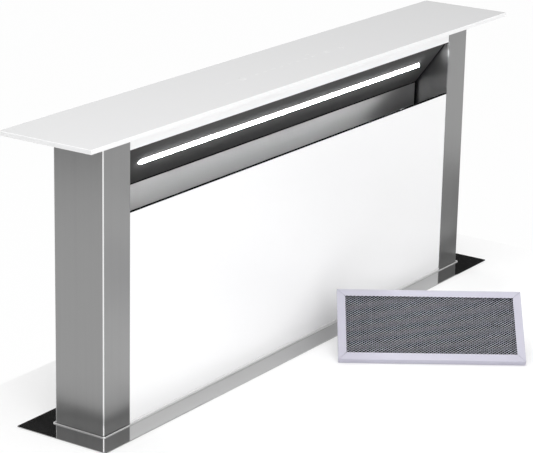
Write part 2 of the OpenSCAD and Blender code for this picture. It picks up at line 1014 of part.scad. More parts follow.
module blower_housing() {
    color("dimgray")
        at_fan()
            difference() {
                to_front(y_blower, plate_in + scroll_l)
                    scroll(scroll_wall, 0);
                to_front(y_blower - plate_in, scroll_l + cut)
                    scroll(0, cut);
                to_front(y_blower + cut, plate_in + 2 * cut)
                    circle(r = inlet_r + run_gap);
            }
}

module blower_cover() {
    color("dimgray")
        at_fan()
            difference() {
                to_front(y_cover, plate_in)
                    scroll(scroll_wall, 0);
                to_front(y_cover + cut, plate_in + 2 * cut)
                    circle(r = motor_case_r + run_gap);
            }
}

module blower_inlet() {
    bell_r = inlet_l;
    color("silver")
        at_fan()
            translate([0, y_blower + 2 * sheet, 0])
                rotate([90, 0, 0])
                    rotate_extrude() {
                        intersection() {
                            translate([throat_r + bell_r, bell_r])
                                difference() {
                                    circle(r = bell_r);
                                    circle(r = bell_r - sheet);
                                }
                            translate([throat_r, 0])
                                square([bell_r, bell_r]);
                        }
                        translate([throat_r + bell_r - sheet, 0])
                            square([inlet_rim, sheet]);
                    }
}

module blade() {
    inner = [for (i = [0:blade_steps]) polar(eye_r + (wheel_r - eye_r) * i / blade_steps,
        -blade_sweep * pow(1 - i / blade_steps, 2))];
    outer = [for (i = [blade_steps:-1:0]) polar(eye_r + (wheel_r - eye_r) * i / blade_steps,
        -blade_sweep * pow(1 - i / blade_steps, 2) + blade_t / eye_r * 180 / PI)];
    polygon(concat(inner, outer));
}

module fan_wheel() {
    color("dimgray")
        at_fan() {
            to_front(y_wheel, ring_t)
                difference() {
                    circle(r = wheel_r + ring_t);
                    circle(r = eye_r);
                }
            to_front(y_wheel - ring_t, wheel_l)
                for (i = [0:blade_n - 1])
                    rotate(i * 360 / blade_n)
                        blade();
            to_front(y_wheel - ring_t - wheel_l, ring_t)
                difference() {
                    circle(r = wheel_r + ring_t);
                    circle(r = axle_r);
                }
            to_front(y_hub, hub_l)
                difference() {
                    circle(r = hub_r);
                    circle(r = axle_r);
                }
            to_front(y_hub, y_hub - y_cover - motor_in + axle_in)
                circle(r = axle_r);
        }
}

module fan_motor() {
    color("gray")
        at_fan()
            difference() {
                union() {
                    to_front(y_cover + motor_in, motor_case_l)
                        circle(r = motor_case_r);
                    to_front(y_cover - plate_in, motor_flange_t)
                        circle(r = motor_flange_r);
                    to_front(y_cover + motor_in - motor_case_l, bearing_wall)
                        circle(r = hub_r);
                }
                to_front(y_cover + motor_in + cut, hub_l + cut)
                    circle(r = axle_r + shaft_gap);
            }
}

// Lofted from the scroll's square mouth to the round duct
module adapter_form(grow, over) {
    hull() {
        translate([fan_x + mouth_x - over, y_cover - grow, fan_z + mouth_low - grow])
            cube([sheet + over, scroll_l + 2 * grow, mouth_top - mouth_low + 2 * grow]);
        translate([duct_x - sheet, duct_y, duct_z])
            rotate([0, 90, 0])
                cylinder(r = duct_r - duct_wall + grow, h = sheet + over, $fn = 40);
    }
}

module outlet_adapter() {
    color("dimgray")
        difference() {
            adapter_form(scroll_wall, 0);
            adapter_form(0, cut);
        }
}

module at_duct() {
    translate([duct_x, duct_y, duct_z])
        rotate([0, 90, 0])
            children();
}

module at_flap(side) {
    translate([duct_x + flap_in + flap_sleeve_r, duct_y + side * flap_gap, duct_z])
        children();
}

module duct_outlet() {
    color("gray")
        difference() {
            at_duct()
                rotate_extrude($fn = 96) {
                    translate([duct_r - duct_wall, 0])
                        square([duct_wall, duct_l]);
                    translate([duct_r - duct_wall, 0])
                        square([flange_out, sheet]);
                    translate([duct_r - duct_wall, duct_l * 3 / 4])
                        circle(r = bead_r);
                }
            for (side = [-1, 1])
                at_flap(side)
                    cylinder(r = flap_pin_r + shaft_gap, h = 2 * (duct_r + cut), center = true);
        }
}

module flap_pins() {
    color("silver")
        for (side = [-1, 1])
            at_flap(side)
                cylinder(r = flap_pin_r, h = 2 * duct_r, center = true);
}

// Half-moon flap on its own upright pin; side -1 is the front one
module flap(side) {
    r = duct_r - duct_wall - run_gap - flap_t;
    color("ivory")
        at_flap(side)
            difference() {
                union() {
                    intersection() {
                        translate([-flap_t / 2, -side * flap_gap, 0])
                            rotate([0, 90, 0])
                                cylinder(r = r, h = flap_t);
                        translate([-duct_r, (side - 1) * duct_r, -duct_r])
                            cube([2 * duct_r, 2 * duct_r, 2 * duct_r]);
                    }
                    cylinder(r = flap_sleeve_r, h = 2 * r - 4 * flap_sleeve_r, center = true);
                }
                cylinder(r = flap_pin_r + shaft_gap, h = 2 * duct_r, center = true);
            }
}

// Control box
module at_box() {
    translate([box_x + box_w / 2, -casing_d / 2, box_z])
        children();
}

module box_outline(grow) {
    translate([0, -box_h / 2])
        bent(box_w + 2 * grow, box_h + 2 * grow, box_r + grow);
}

module control_box() {
    color("lightgray")
        at_box()
            difference() {
                union() {
                    to_front(0, box_d)
                        mirror([0, 1])
                            box_outline(0);
                    translate([0, -box_d / 2, -gland_l])
                        cylinder(r = gland_r, h = gland_l + box_wall);
                }
                to_front(-box_wall, box_d)
                    mirror([0, 1])
                        box_outline(-box_wall);
                translate([0, -box_d / 2, -gland_l - cut])
                    cylinder(r = gland_bore, h = gland_l + box_wall + 2 * cut);
            }
}

module control_box_lid() {
    color("gainsboro")
        at_box() {
            to_front(-box_d, box_wall)
                mirror([0, 1])
                    box_outline(0);
            to_front(-box_d + box_wall, box_wall)
                mirror([0, 1])
                    difference() {
                        box_outline(-box_wall - run_gap);
                        box_outline(-2 * box_wall - run_gap);
                    }
        }
}

module control_board() {
    w = box_w - 4 * box_wall;
    h = box_h - 4 * box_wall;
    part_w = w / 3;
    color("darkgreen")
        at_box()
            translate([0, -box_wall, box_h / 2]) {
                for (x = [-1, 1], z = [-1, 1])
                    translate([x * (w / 2 - box_r), 0, z * (h / 2 - box_r)])
                        rotate([90, 0, 0])
                            cylinder(r = bolt_r, h = box_r);
                to_front(-box_r, board_t)
                    square([w, h], center = true);
                translate([-w / 2 + part_w / 4, -box_r - board_t - part_w * 2 / 3, -h / 4])
                    cube([part_w, part_w * 2 / 3, part_w]);
                for (i = [0:2])
                    translate([part_w / 2, -box_r - board_t, (i - 1) * h / 4])
                        rotate([90, 0, 0])
                            cylinder(r = part_w / 5, h = part_w / 2);
            }
}

glass_top();
top_carrier();
touch_board();
fascia_strip();
canopy();
led_profile();
led_board();
led_diffuser();
cheek(-1);  // cheek_left
cheek(1);  // cheek_right
column(-1);  // column_left
column(1);  // column_right
rear_panel();
filter_wall();
grease_tray();
front_skirt();
carriage();
guide_shoes();
lift_motor();
shaft_bearings();
panel_magnets();
front_glass();
front_glass_backing();
filter_place(0) filter_frame();  // filter_frame_left
filter_place(1) filter_frame();  // filter_frame_middle
filter_place(2) filter_frame();  // filter_frame_right
filter_place(0) filter_mesh();  // filter_mesh_left
filter_place(1) filter_mesh();  // filter_mesh_middle
filter_place(2) filter_mesh();  // filter_mesh_right
filter_place(0) filter_handle(0);  // filter_handle_left
filter_place(1) filter_handle(0);  // filter_handle_middle
filter_place(2) filter_handle(0);  // filter_handle_right
loose_filter() filter_frame();  // loose_filter_frame
loose_filter() filter_mesh();  // loose_filter_mesh
loose_filter() filter_handle(prop_swing);  // loose_filter_handle
lift_shaft();
worktop_plate();
sealing_tape();
wiper_seal();
casing_shell();
casing_front();
casing_bottom();
casing_screws();
guide_rails();
lift_racks();
worktop_clamps();
floor_feet();
blower_housing();
blower_cover();
blower_inlet();
fan_wheel();
fan_motor();
outlet_adapter();
duct_outlet();
flap_pins();
flap(-1);  // flap_front
flap(1);  // flap_rear
control_box();
control_box_lid();
control_board();
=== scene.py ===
# %% [markdown]
# # A downdraft kitchen vent
# The fixed parts come from the imported model as a frame of named meshes in metres, with X along the worktop,
# Y to the back and Z up from the worktop's surface. This lesson gives every one of them its finish, and
# models anew what needs finer shapes: the plate with its rolled rim, the light's lens, the near-black seals
# that paint shade into the joints, the expanded metal of the filters, their mitred frames, the small screws,
# the motor's lead and the printed touch marks.

import math

import bmesh
import bpy
from mathutils import Matrix, Vector, geometry


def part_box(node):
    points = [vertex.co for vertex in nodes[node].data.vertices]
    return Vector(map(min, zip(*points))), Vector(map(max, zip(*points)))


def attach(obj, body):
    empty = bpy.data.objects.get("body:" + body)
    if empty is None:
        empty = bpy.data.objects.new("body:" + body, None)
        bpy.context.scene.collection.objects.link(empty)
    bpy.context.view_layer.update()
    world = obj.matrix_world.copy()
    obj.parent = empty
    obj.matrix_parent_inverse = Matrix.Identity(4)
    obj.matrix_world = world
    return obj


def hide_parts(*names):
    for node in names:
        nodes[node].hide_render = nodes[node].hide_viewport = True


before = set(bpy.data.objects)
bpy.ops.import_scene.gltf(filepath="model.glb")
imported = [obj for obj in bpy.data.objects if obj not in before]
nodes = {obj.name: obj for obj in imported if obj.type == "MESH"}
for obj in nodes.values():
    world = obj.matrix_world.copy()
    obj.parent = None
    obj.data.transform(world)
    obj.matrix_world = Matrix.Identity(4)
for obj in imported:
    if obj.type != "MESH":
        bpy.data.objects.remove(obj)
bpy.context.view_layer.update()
scene = bpy.context.scene
MM = 0.001

# %% [markdown]
# ## The camera
# The photograph was taken with a long lens from the front left, a little above the glass lid. A long lens
# keeps the far end of the tower nearly as tall as the near one. The camera is placed by a point that it
# stands on and a point that it looks at, and then rolled by about a degree, as the photographer's was.

# %% Camera
camera_place = Vector((-2.1237, -1.4144, 0.9378))
camera_aim = Vector((-0.0510, -0.0157, 0.1556))
camera_roll = math.radians(1.2)
LENS = 148.8
SENSOR = 36.0


def add_camera():
    data = bpy.data.cameras.new("camera")
    data.sensor_width = SENSOR
    data.lens = LENS
    camera = bpy.data.objects.new("camera", data)
    scene.collection.objects.link(camera)
    turn = (camera_aim - camera_place).to_track_quat("-Z", "Y").to_matrix().to_4x4()
    camera.matrix_world = Matrix.Translation(camera_place) @ turn @ Matrix.Rotation(camera_roll, 4, "Z")
    return camera


scene.camera = add_camera()
scene.view_settings.view_transform = "Standard"
print("camera:", round((camera_aim - camera_place).length, 2), "m from what it looks at")

# %% [markdown]
# ## Small helpers for meshes
# Every new piece starts as a bmesh, is shaped by operators, and is then turned into an object whose origin
# stays at the world's origin. The place of a piece is in its vertices, so a pattern on Object coordinates
# never slides. Faces are pointed outwards before the mesh is kept.

# %% Mesh helpers


def finish_mesh(bm, name, material, smooth=False, outward=True):
    bmesh.ops.remove_doubles(bm, verts=bm.verts, dist=1e-6)
    if outward:
        bmesh.ops.recalc_face_normals(bm, faces=bm.faces)
    mesh = bpy.data.meshes.new(name)
    bm.to_mesh(mesh)
    bm.free()
    mesh.polygons.foreach_set("use_smooth", [smooth] * len(mesh.polygons))
    piece = bpy.data.objects.new(name, mesh)
    scene.collection.objects.link(piece)
    mesh.materials.append(material)
    return piece


def added(bm, before):
    """The vertices that have come since the set was taken."""
    return [v for v in bm.verts if v not in before]


def add_box(bm, low, high):
    """A box from its low corner to its high corner, in metres."""
    size = Vector(high) - Vector(low)
    middle = (Vector(high) + Vector(low)) / 2
    place = Matrix.Translation(middle) @ Matrix.Diagonal((*size, 1))
    return bmesh.ops.create_cube(bm, size=1, matrix=place)["verts"]


def add_disc(bm, radius, place, segments=32):
    return bmesh.ops.create_circle(bm, cap_ends=True, radius=radius, segments=segments, matrix=place)["verts"]


def extrude_faces(bm, faces, offset):
    """Pulls faces out by an offset and returns the new vertices."""
    made = bmesh.ops.extrude_face_region(bm, geom=faces, use_keep_orig=True)
    verts = [v for v in made["geom"] if isinstance(v, bmesh.types.BMVert)]
    bmesh.ops.translate(bm, verts=verts, vec=offset)
    return verts


def soften(bm, edges, width, segments=2):
    bmesh.ops.bevel(bm, geom=edges, offset=width, segments=segments, profile=0.5, affect="EDGES",
                    material=-1, clamp_overlap=True)


def move_mesh(piece, place):
    piece.data.transform(place)
    piece.data.update()
    return piece


print("mesh helpers are ready")

# %% [markdown]
# ## The stage
# In a kitchen the plate lies on the worktop and the casing hangs in the cabinet. The stage is a slab of
# worktop with the vent's cut-out, and a plain floor where the casing's feet stand. The photograph's ground
# is pure white, so the camera sees part of both as white light and the rest as a lit surface. That keeps
# the soft shadow under the loose filter.

# %% Worktop slab and floor
slab_low = Vector((-0.50, -0.56, -0.038))
slab_high = Vector((0.50, 0.16, 0.0))
cut_half = Vector((0.4065, 0.052, 0.0))
FLOOR_HALF = 6.0
floor_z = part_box("floor_feet")[0].z
GROUND = (0.96, 0.96, 0.96)
WHITE_SHARE = 0.3
FLOOR_WHITE = 0.96


def any_ray(tree, *kinds):
    """1 for the rays of these kinds, else 0."""
    path = tree.nodes.new("ShaderNodeLightPath")
    rays = [path.outputs["Is " + kind + " Ray"] for kind in kinds]
    seen = rays[0]
    for ray in rays[1:]:
        either = tree.nodes.new("ShaderNodeMath")
        either.operation = "MAXIMUM"
        tree.links.new(seen, either.inputs[0])
        tree.links.new(ray, either.inputs[1])
        seen = either.outputs[0]
    return seen


def ground_material(name, white_share):
    """Pale and matt, but partly plain white for the camera and in reflections."""
    material = bpy.data.materials.new(name)
    material.use_nodes = True
    tree = material.node_tree
    tree.nodes.clear()
    out = tree.nodes.new("ShaderNodeOutputMaterial")
    lit = tree.nodes.new("ShaderNodeBsdfDiffuse")
    lit.inputs["Color"].default_value = (*GROUND, 1)
    white = tree.nodes.new("ShaderNodeEmission")
    white.inputs["Strength"].default_value = 1.0
    share = tree.nodes.new("ShaderNodeMath")
    share.operation = "MULTIPLY"
    share.inputs[1].default_value = white_share
    tree.links.new(any_ray(tree, "Camera", "Transmission", "Glossy"), share.inputs[0])
    mix = tree.nodes.new("ShaderNodeMixShader")
    tree.links.new(share.outputs[0], mix.inputs["Fac"])
    tree.links.new(lit.outputs[0], mix.inputs[1])
    tree.links.new(white.outputs[0], mix.inputs[2])
    tree.links.new(mix.outputs[0], out.inputs["Surface"])
    return material


def add_worktop():
    """The slab's outline and the cut-out's, each symmetric in X, bridged to a ring and pulled down."""
    bm = bmesh.new()
    outlines = ((slab_high.x, slab_low.y, slab_high.y), (cut_half.x, -cut_half.y, cut_half.y))
    for half_x, low_y, high_y in outlines:
        ring = bmesh.ops.create_circle(bm, radius=1, segments=4)["verts"]
        for v, (x, y) in zip(ring, ((-1, 0), (0, 0), (0, 1), (-1, 1))):
            v.co = (half_x if x == 0 else -half_x, high_y if y else low_y, slab_high.z)
    bmesh.ops.bridge_loops(bm, edges=bm.edges[:])
    bmesh.ops.recalc_face_normals(bm, faces=bm.faces)
    extrude_faces(bm, bm.faces[:], (0, 0, slab_low.z))
    return finish_mesh(bm, "worktop", ground_material("worktop_white", WHITE_SHARE))


def add_floor():
    bm = bmesh.new()
    place = Matrix.Translation((0, 0, floor_z))
    bmesh.ops.create_grid(bm, x_segments=1, y_segments=1, size=FLOOR_HALF, matrix=place)
    return finish_mesh(bm, "floor", ground_material("floor_white", FLOOR_WHITE), outward=False)


for ground in (add_worktop(), add_floor()):
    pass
print("stage: worktop at 0, floor at", round(floor_z, 3))

# %% [markdown]
# ## Light
# White goods are lit by big soft boxes. One hangs in front and to the left, one overhead, a weak one fills
# in from the right, and one behind lights the back. The world is white for the camera and in reflections,
# and a calmer grey for what it sheds on matt surfaces, so that a colour renders about as it is written.
# Dark cards stand round the set, where the camera doesn't see them, and three small ones lie at the feet
# of the columns. They give the polished plate and the steel something dark to mirror, as a
# photographer's flags do.

# %% Lamps, world and flags
WORLD_LIGHT = 0.68

# name, place, aim, size, watts
lamps = (
    ("key", (-1.9, -2.2, 1.6), (0, 0, 0.15), 2.2, 36),
    ("overhead", (-0.3, -0.3, 2.4), (0, 0, 0), 1.8, 16),
    ("fill", (2.4, -1.8, 1.1), (0, 0, 0), 1.4, 3),
    ("rear", (0.8, 2.6, 1.6), (0, 0, -0.2), 1.6, 18),
)


def add_lamp(name, place, aim, size, watts):
    light = bpy.data.lights.new(name, "AREA")
    light.energy = watts
    light.size = size
    lamp = bpy.data.objects.new(name, light)
    scene.collection.objects.link(lamp)
    lamp.location = place
    lamp.rotation_euler = (Vector(aim) - Vector(place)).to_track_quat("-Z", "Y").to_euler()


def light_world():
    world = bpy.data.worlds.new("studio")
    world.use_nodes = True
    tree = world.node_tree
    tree.nodes.clear()
    out = tree.nodes.new("ShaderNodeOutputWorld")
    soft = tree.nodes.new("ShaderNodeBackground")
    soft.inputs["Color"].default_value = (1, 1, 1, 1)
    soft.inputs["Strength"].default_value = WORLD_LIGHT
    white = tree.nodes.new("ShaderNodeBackground")
    white.inputs["Color"].default_value = (1, 1, 1, 1)
    mix = tree.nodes.new("ShaderNodeMixShader")
    tree.links.new(any_ray(tree, "Camera", "Glossy", "Transmission"), mix.inputs["Fac"])
    tree.links.new(soft.outputs[0], mix.inputs[1])
    tree.links.new(white.outputs[0], mix.inputs[2])
    tree.links.new(mix.outputs[0], out.inputs["Surface"])
    scene.world = world


CARD_Z = 0.0006

# name, middle, width, height, shade
flags = (
    ("flag_right_rear", (1.55, 1.08, 0.70), 1.6, 0.66, 0.01),
    ("flag_left_rear", (-1.60, 0.85, 0.30), 1.0, 0.84, 0.01),
    ("flag_right_front", (1.30, -0.95, 0.62), 1.6, 0.50, 0.01),
    ("flag_low_right", (1.38, -0.60, -0.43), 0.8, 0.50, 0.05),
)
cards = (
    ("card_left_side", (-0.431, 0.04, CARD_Z), 0.026, 0.20, 0.01),
    ("card_left_front", (-0.33, -0.070, CARD_Z), 0.20, 0.014, 0.01),
    ("card_right_front", (0.42, -0.10, CARD_Z), 0.16, 0.076, 0.01),
)


def flag_cloth(name, shade):
    cloth = bpy.data.materials.new(name + "_cloth")
    cloth.use_nodes = True
    shader = cloth.node_tree.nodes["Principled BSDF"]
    shader.inputs["Base Color"].default_value = (shade, shade, shade, 1)
    shader.inputs["Roughness"].default_value = 1.0
    return cloth


def add_flag(name, middle, width, height, shade, lying=False):
    """A dark card, upright and facing the tower or lying flat. Only reflections see it."""
    bm = bmesh.new()
    facing = Matrix()
    if not lying:
        facing = Vector((-middle[0], -middle[1], 0)).to_track_quat("Z", "Y").to_matrix().to_4x4()
    place = Matrix.Translation(middle) @ facing @ Matrix.Diagonal((width, height, 1, 1))
    bmesh.ops.create_grid(bm, x_segments=1, y_segments=1, size=0.5, matrix=place)
    flag = finish_mesh(bm, name, flag_cloth(name, shade), outward=False)
    flag.visible_camera = False
    flag.visible_diffuse = False
    flag.visible_shadow = False
    return flag


for lamp in lamps:
    add_lamp(*lamp)
light_world()
for flag in flags:
    add_flag(*flag)
for card in cards:
    add_flag(*card, lying=True)
print("light:", len(lamps), "soft boxes,", len(flags), "flags and", len(cards), "cards")

# %% [markdown]
# ## Small helpers for finishes
# A finish is one Principled shader with a pattern on Object coordinates. Plain numbers are set on the
# shader's own sockets, and only what varies over the surface is linked: a colour that drifts, a
# roughness that is worn, a bump for grain. Stretching the coordinates turns round noise into brush marks.

# %% Finish helpers


class Finish:
    """One Principled material and its pattern nodes."""

    def __init__(self, name, colour, metallic=0.0, roughness=0.5, **sockets):
        self.material = bpy.data.materials.new(name)
        self.material.use_nodes = True
        self.tree = self.material.node_tree
        self.shader = self.tree.nodes["Principled BSDF"]
        self.shader.inputs["Base Color"].default_value = (*colour, 1)
        self.shader.inputs["Metallic"].default_value = metallic
        self.shader.inputs["Roughness"].default_value = roughness
        for socket, value in sockets.items():
            self.shader.inputs[socket.replace("_", " ")].default_value = value

    def node(self, kind, **settings):
        made = self.tree.nodes.new(kind)
        for key, value in settings.items():
            setattr(made, key, value)
        return made

    def coordinates(self, stretch=(1, 1, 1), turn=(0, 0, 0)):
        place = self.node("ShaderNodeTexCoord")
        mapping = self.node("ShaderNodeMapping")
        mapping.inputs["Scale"].default_value = stretch
        mapping.inputs["Rotation"].default_value = turn
        self.tree.links.new(place.outputs["Object"], mapping.inputs["Vector"])
        return mapping.outputs["Vector"]

    def noise(self, scale, detail=3.0, rough=0.5, stretch=(1, 1, 1)):
        made = self.node("ShaderNodeTexNoise")
        made.inputs["Scale"].default_value = scale
        made.inputs["Detail"].default_value = detail
        made.inputs["Roughness"].default_value = rough
        self.tree.links.new(self.coordinates(stretch), made.inputs["Vector"])
        return made.outputs["Fac"]

    def cells(self, scale):
        made = self.node("ShaderNodeTexVoronoi")
        made.inputs["Scale"].default_value = scale
        self.tree.links.new(self.coordinates(), made.inputs["Vector"])
        return made.outputs["Color"]

    def spread(self, value, low, high):
        """Maps a 0 to 1 pattern onto a range."""
        made = self.node("ShaderNodeMapRange")
        made.inputs["To Min"].default_value = low
        made.inputs["To Max"].default_value = high
        self.tree.links.new(value, made.inputs["Value"])
        return made.outputs["Result"]

    def tangent(self, x, y, z):
        """Fixes the way along which an anisotropic gloss is drawn out."""
        made = self.node("ShaderNodeCombineXYZ")
        for socket, value in zip(made.inputs, (x, y, z)):
            socket.default_value = value
        return self.link(made.outputs[0], "Tangent")

    def between(self, value, first, second):
        """Mixes two colours, or two patterns, by a 0 to 1 pattern."""
        mix = self.node("ShaderNodeMix", data_type="RGBA")
        for socket, colour in ((mix.inputs[6], first), (mix.inputs[7], second)):
            if isinstance(colour, bpy.types.NodeSocket):
                self.tree.links.new(colour, socket)
            else:
                socket.default_value = (*colour, 1)
        self.tree.links.new(value, mix.inputs[0])
        return mix.outputs[2]

    def past(self, x, y):
        """1 where a point lies further out than x and y on both axes, else 0."""
        split = self.node("ShaderNodeSeparateXYZ")
        self.tree.links.new(self.coordinates(), split.inputs[0])
        both = self.node("ShaderNodeMath", operation="MULTIPLY")
        for i, edge in enumerate((x, y)):
            size = self.node("ShaderNodeMath", operation="ABSOLUTE")
            over = self.node("ShaderNodeMath", operation="GREATER_THAN")
            over.inputs[1].default_value = edge
            self.tree.links.new(split.outputs[i], size.inputs[0])
            self.tree.links.new(size.outputs[0], over.inputs[0])
            self.tree.links.new(over.outputs[0], both.inputs[i])
        return both.outputs[0]

    def link(self, value, socket):
        self.tree.links.new(value, self.shader.inputs[socket])
        return self

    def tones(self, value, first, second):
        """Lets the colour drift between two by a 0 to 1 pattern."""
        return self.link(self.between(value, first, second), "Base Color")

    def gloss(self, value, low, high):
        """Lets the roughness vary over a range by a 0 to 1 pattern."""
        return self.link(self.spread(value, low, high), "Roughness")

    def bump(self, height, depth, strength):
        made = self.node("ShaderNodeBump")
        made.inputs["Distance"].default_value = depth
        made.inputs["Strength"].default_value = strength
        self.tree.links.new(height, made.inputs["Height"])
        self.tree.links.new(made.outputs["Normal"], self.shader.inputs["Normal"])
        return self


def grey(level):
    return (level, level, level)


def dress(material, *names):
    for name in names:
        slots = nodes[name].data.materials
        slots.clear()
        slots.append(material)


print("finish helpers are ready")

# %% [markdown]
# ## Brushed steel
# The columns are brushed from top to bottom and the wide sheets along their length. A brushed face is a field
# of fine grooves. Real grooves are far thinner than a pixel, so the pattern is noise stretched fifty times
# along the brush: a fine one for the bump and a coarser one that lets the tone drift. The outer bends of the
# columns carry a painted highlight, a bright line set into the base colour past the bend. Grooves blur a
# reflection across them and leave it sharper along them, so the gloss of the columns is drawn out sideways.

# %% Brushed steel
BRUSH_FINE = 900
BRUSH_WIDE = 120
BRUSH_LONG = 0.02
GROOVE = 0.00004
DRAWN_OUT = 0.9
BEND_HIGHLIGHT = 0.88
X, Z = 0, 2
column_bend = (0.3839, 0.0326)


def brushed_steel(name, level, along, roughness, metallic=1.0, specular=0.5, drift=1.0, bend=None,
                  drawn=None):
    """Brushed along one axis, with a painted highlight past the bend if one is given, its gloss drawn out
    along a vector if one is given.
    """
    stretch = [1, 1, 1]
    stretch[along] = BRUSH_LONG
    steel = Finish(name, grey(level), metallic=metallic, roughness=roughness, Specular_IOR_Level=specular)
    fine = steel.noise(BRUSH_FINE, 2.0, 0.6, stretch)
    wide = steel.noise(BRUSH_WIDE, 4.0, 0.7, stretch)
    tone = steel.between(wide, grey(level * (1 - 0.07 * drift)), grey(level * (1 + 0.06 * drift)))
    # painted highlight: past each outer bend the base colour turns to a bright grey
    if bend:
        tone = steel.between(steel.past(*bend), tone, grey(BEND_HIGHLIGHT))
    steel.link(tone, "Base Color")
    steel.gloss(wide, roughness * (1 - 0.2 * drift), roughness * (1 + 0.25 * drift))
    steel.bump(fine, GROOVE * drift, 0.5)
    if drawn:
        steel.shader.inputs["Anisotropic"].default_value = DRAWN_OUT
        steel.tangent(*drawn)
    return steel.material


column_steel = brushed_steel("column_steel", 0.31, Z, roughness=0.31, metallic=0.75, bend=column_bend,
                             drawn=(1, -1, 0))
wide_steel = brushed_steel("wide_steel", 0.32, X, roughness=0.34)
# painted shade: the intake's roof and the lens trims get a near-black, matt, glossless copy of the steel,
# darker than any lit steel here
intake_steel = brushed_steel("intake_steel", 0.072, X, roughness=0.6, metallic=0.0, specular=0.0)
inner_steel = brushed_steel("inner_steel", 0.40, X, roughness=0.38)
dress(column_steel, "column_left", "column_right")
# painted shade: the cheeks get a steel about half as bright as the columns', for the shaded ends of the
# intake
dress(brushed_steel("shaded_cheek_steel", 0.16, Z, roughness=0.36, drift=0.3), "cheek_left", "cheek_right")
dress(wide_steel, "rear_panel")
dress(intake_steel, "canopy")

satin = Finish("satin_steel", grey(0.64), metallic=1.0, roughness=0.5, Anisotropic=DRAWN_OUT)
satin.tones(satin.noise(90, 3.0, 0.6, (BRUSH_LONG, 1, 1)), grey(0.61), grey(0.67))
satin.tangent(0, 0, 1)
dress(satin.material, "filter_wall")
dress(inner_steel, "top_carrier", "carriage", "grease_tray", "front_glass_backing")
print("brushed steel on ten nodes and satin steel on one")

# %% [markdown]
# ## Polished steel
# The plate on the worktop is mirror polished: it shows the feet of the columns and the dark flags and cards
# round it. Only faint wiping marks and a slight waviness of the thin sheet break the mirror.

# %% Polished steel
plate = Finish("polished_steel", grey(0.50), metallic=1.0, roughness=0.05)
plate.gloss(plate.noise(30, 3.0), 0.03, 0.09)
plate.bump(plate.noise(9, 1.0), 0.00008, 0.5)
print("polished steel is ready")

# %% [markdown]
# ## The plate and its rolled rim
# The plate is a flat mirror with an opening, and the opening's edge is rolled to a thin round rim. The rim
# is worn to a satin gloss and catches the white room as a bright line round the tower. The flat is skinned
# between two rounded rectangles and pulled down. For the rim one rounded rectangle is drawn for each point
# of its profile, and bridge_loops skins them in turn.

# %% Plate and rim
# how far out and how high, in millimetres
RIM_PROFILE = ((0.62, 1.4), (0.62, 1.9), (0.52, 2.25), (0.3, 2.5), (0.0, 2.6),
               (-0.4, 2.58), (-0.75, 2.4), (-0.95, 2.1), (-1.0, 1.7), (-1.0, 0.5))
PLATE_TOP = 1.5 * MM
PLATE_T = 1.0 * MM
PLATE_CORNER = 1.0 * MM
plate_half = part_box("worktop_plate")[1]
lip_half = Vector((387.0, 35.75)) * MM
LIP_CORNER = 2.6 * MM
CORNER_STEPS = 8


def rounded_loop(bm, half_x, half_y, radius, z):
    """A closed loop of edges: a rectangle whose corners are bevelled to arcs."""
    corners = bmesh.ops.create_circle(bm, radius=1, segments=4)["verts"]
    for v, (x, y) in zip(corners, ((1, 1), (-1, 1), (-1, -1), (1, -1))):
        v.co = (x * half_x, y * half_y, z)
    before = set(bm.edges) - set(e for v in corners for e in v.link_edges)
    bmesh.ops.bevel(bm, geom=corners, offset=radius, segments=CORNER_STEPS, profile=0.5, affect="VERTICES",
                    material=-1)
    return [e for e in bm.edges if e not in before]


def plate_sheet():
    bm = bmesh.new()
    rounded_loop(bm, plate_half.x, plate_half.y, PLATE_CORNER, PLATE_TOP)
    rounded_loop(bm, lip_half.x, lip_half.y, LIP_CORNER, PLATE_TOP)
    bmesh.ops.bridge_loops(bm, edges=bm.edges[:])
    bmesh.ops.recalc_face_normals(bm, faces=bm.faces)
    extrude_faces(bm, bm.faces[:], (0, 0, -PLATE_T))
    return finish_mesh(bm, "plate_sheet", plate.material)


def rolled_rim():
    bm = bmesh.new()
    loops = [rounded_loop(bm, lip_half.x + out * MM, lip_half.y + out * MM, LIP_CORNER + out * MM, z * MM)
             for out, z in RIM_PROFILE]
    for first, second in zip(loops, loops[1:]):
        bmesh.ops.bridge_loops(bm, edges=first + second)
    return finish_mesh(bm, "rolled_rim", rim_steel.material, smooth=True)


rim_steel = Finish("rim_steel", grey(0.66), metallic=1.0, roughness=0.45)
rim_steel.tones(rim_steel.noise(200, 2.0), grey(0.62), grey(0.70))
sheet, rim = plate_sheet(), rolled_rim()
for piece in (sheet, rim):
    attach(piece, "casing")
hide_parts("worktop_plate")
print("plate:", len(sheet.data.polygons), "faces, rim:", len(rim.data.polygons), "faces")

# %% [markdown]
# ## White glass and white enamel
# The lid and the front panel are clear glass painted white on the back. The white lies under a hard gloss,
# so the shader is a white base with a low roughness and almost no texture, only wiping marks in the gloss.
# The front panel is etched a little, so it doesn't mirror the worktop. The strip under the lid and the
# skirt below the panel are enamelled steel, a little softer, with the faint orange peel of paint.

# %% White glass and enamel


def white_glass(name, shade, roughness):
    glass = Finish(name, grey(shade), roughness=roughness)
    glass.tones(glass.noise(3, 2.0), grey(shade), (shade, shade, shade * 1.01))
    glass.gloss(glass.noise(14, 4.0), roughness * 0.8, roughness * 1.2)
    return glass.material


dress(white_glass("lid_glass", 0.895, 0.08), "glass_top")
dress(white_glass("panel_glass", 0.945, 0.34), "front_glass")

enamel = Finish("white_enamel", grey(0.97), roughness=0.3, Coat_Weight=0.4, Coat_Roughness=0.1)
enamel.tones(enamel.noise(6), grey(0.96), grey(0.99))
enamel.bump(enamel.noise(700, 2.0), 0.00003, 0.3)
dress(enamel.material, "fascia_strip", "front_skirt")
print("white glass and enamel")

# %% [markdown]
# ## Zinc-coated casing
# The casing is never seen once it is fitted, so it is plain zinc-coated sheet. Hot-dip zinc freezes in
# crystals a few millimetres wide. Voronoi cells make these spangles: each cell has its own tone and its
# own roughness.

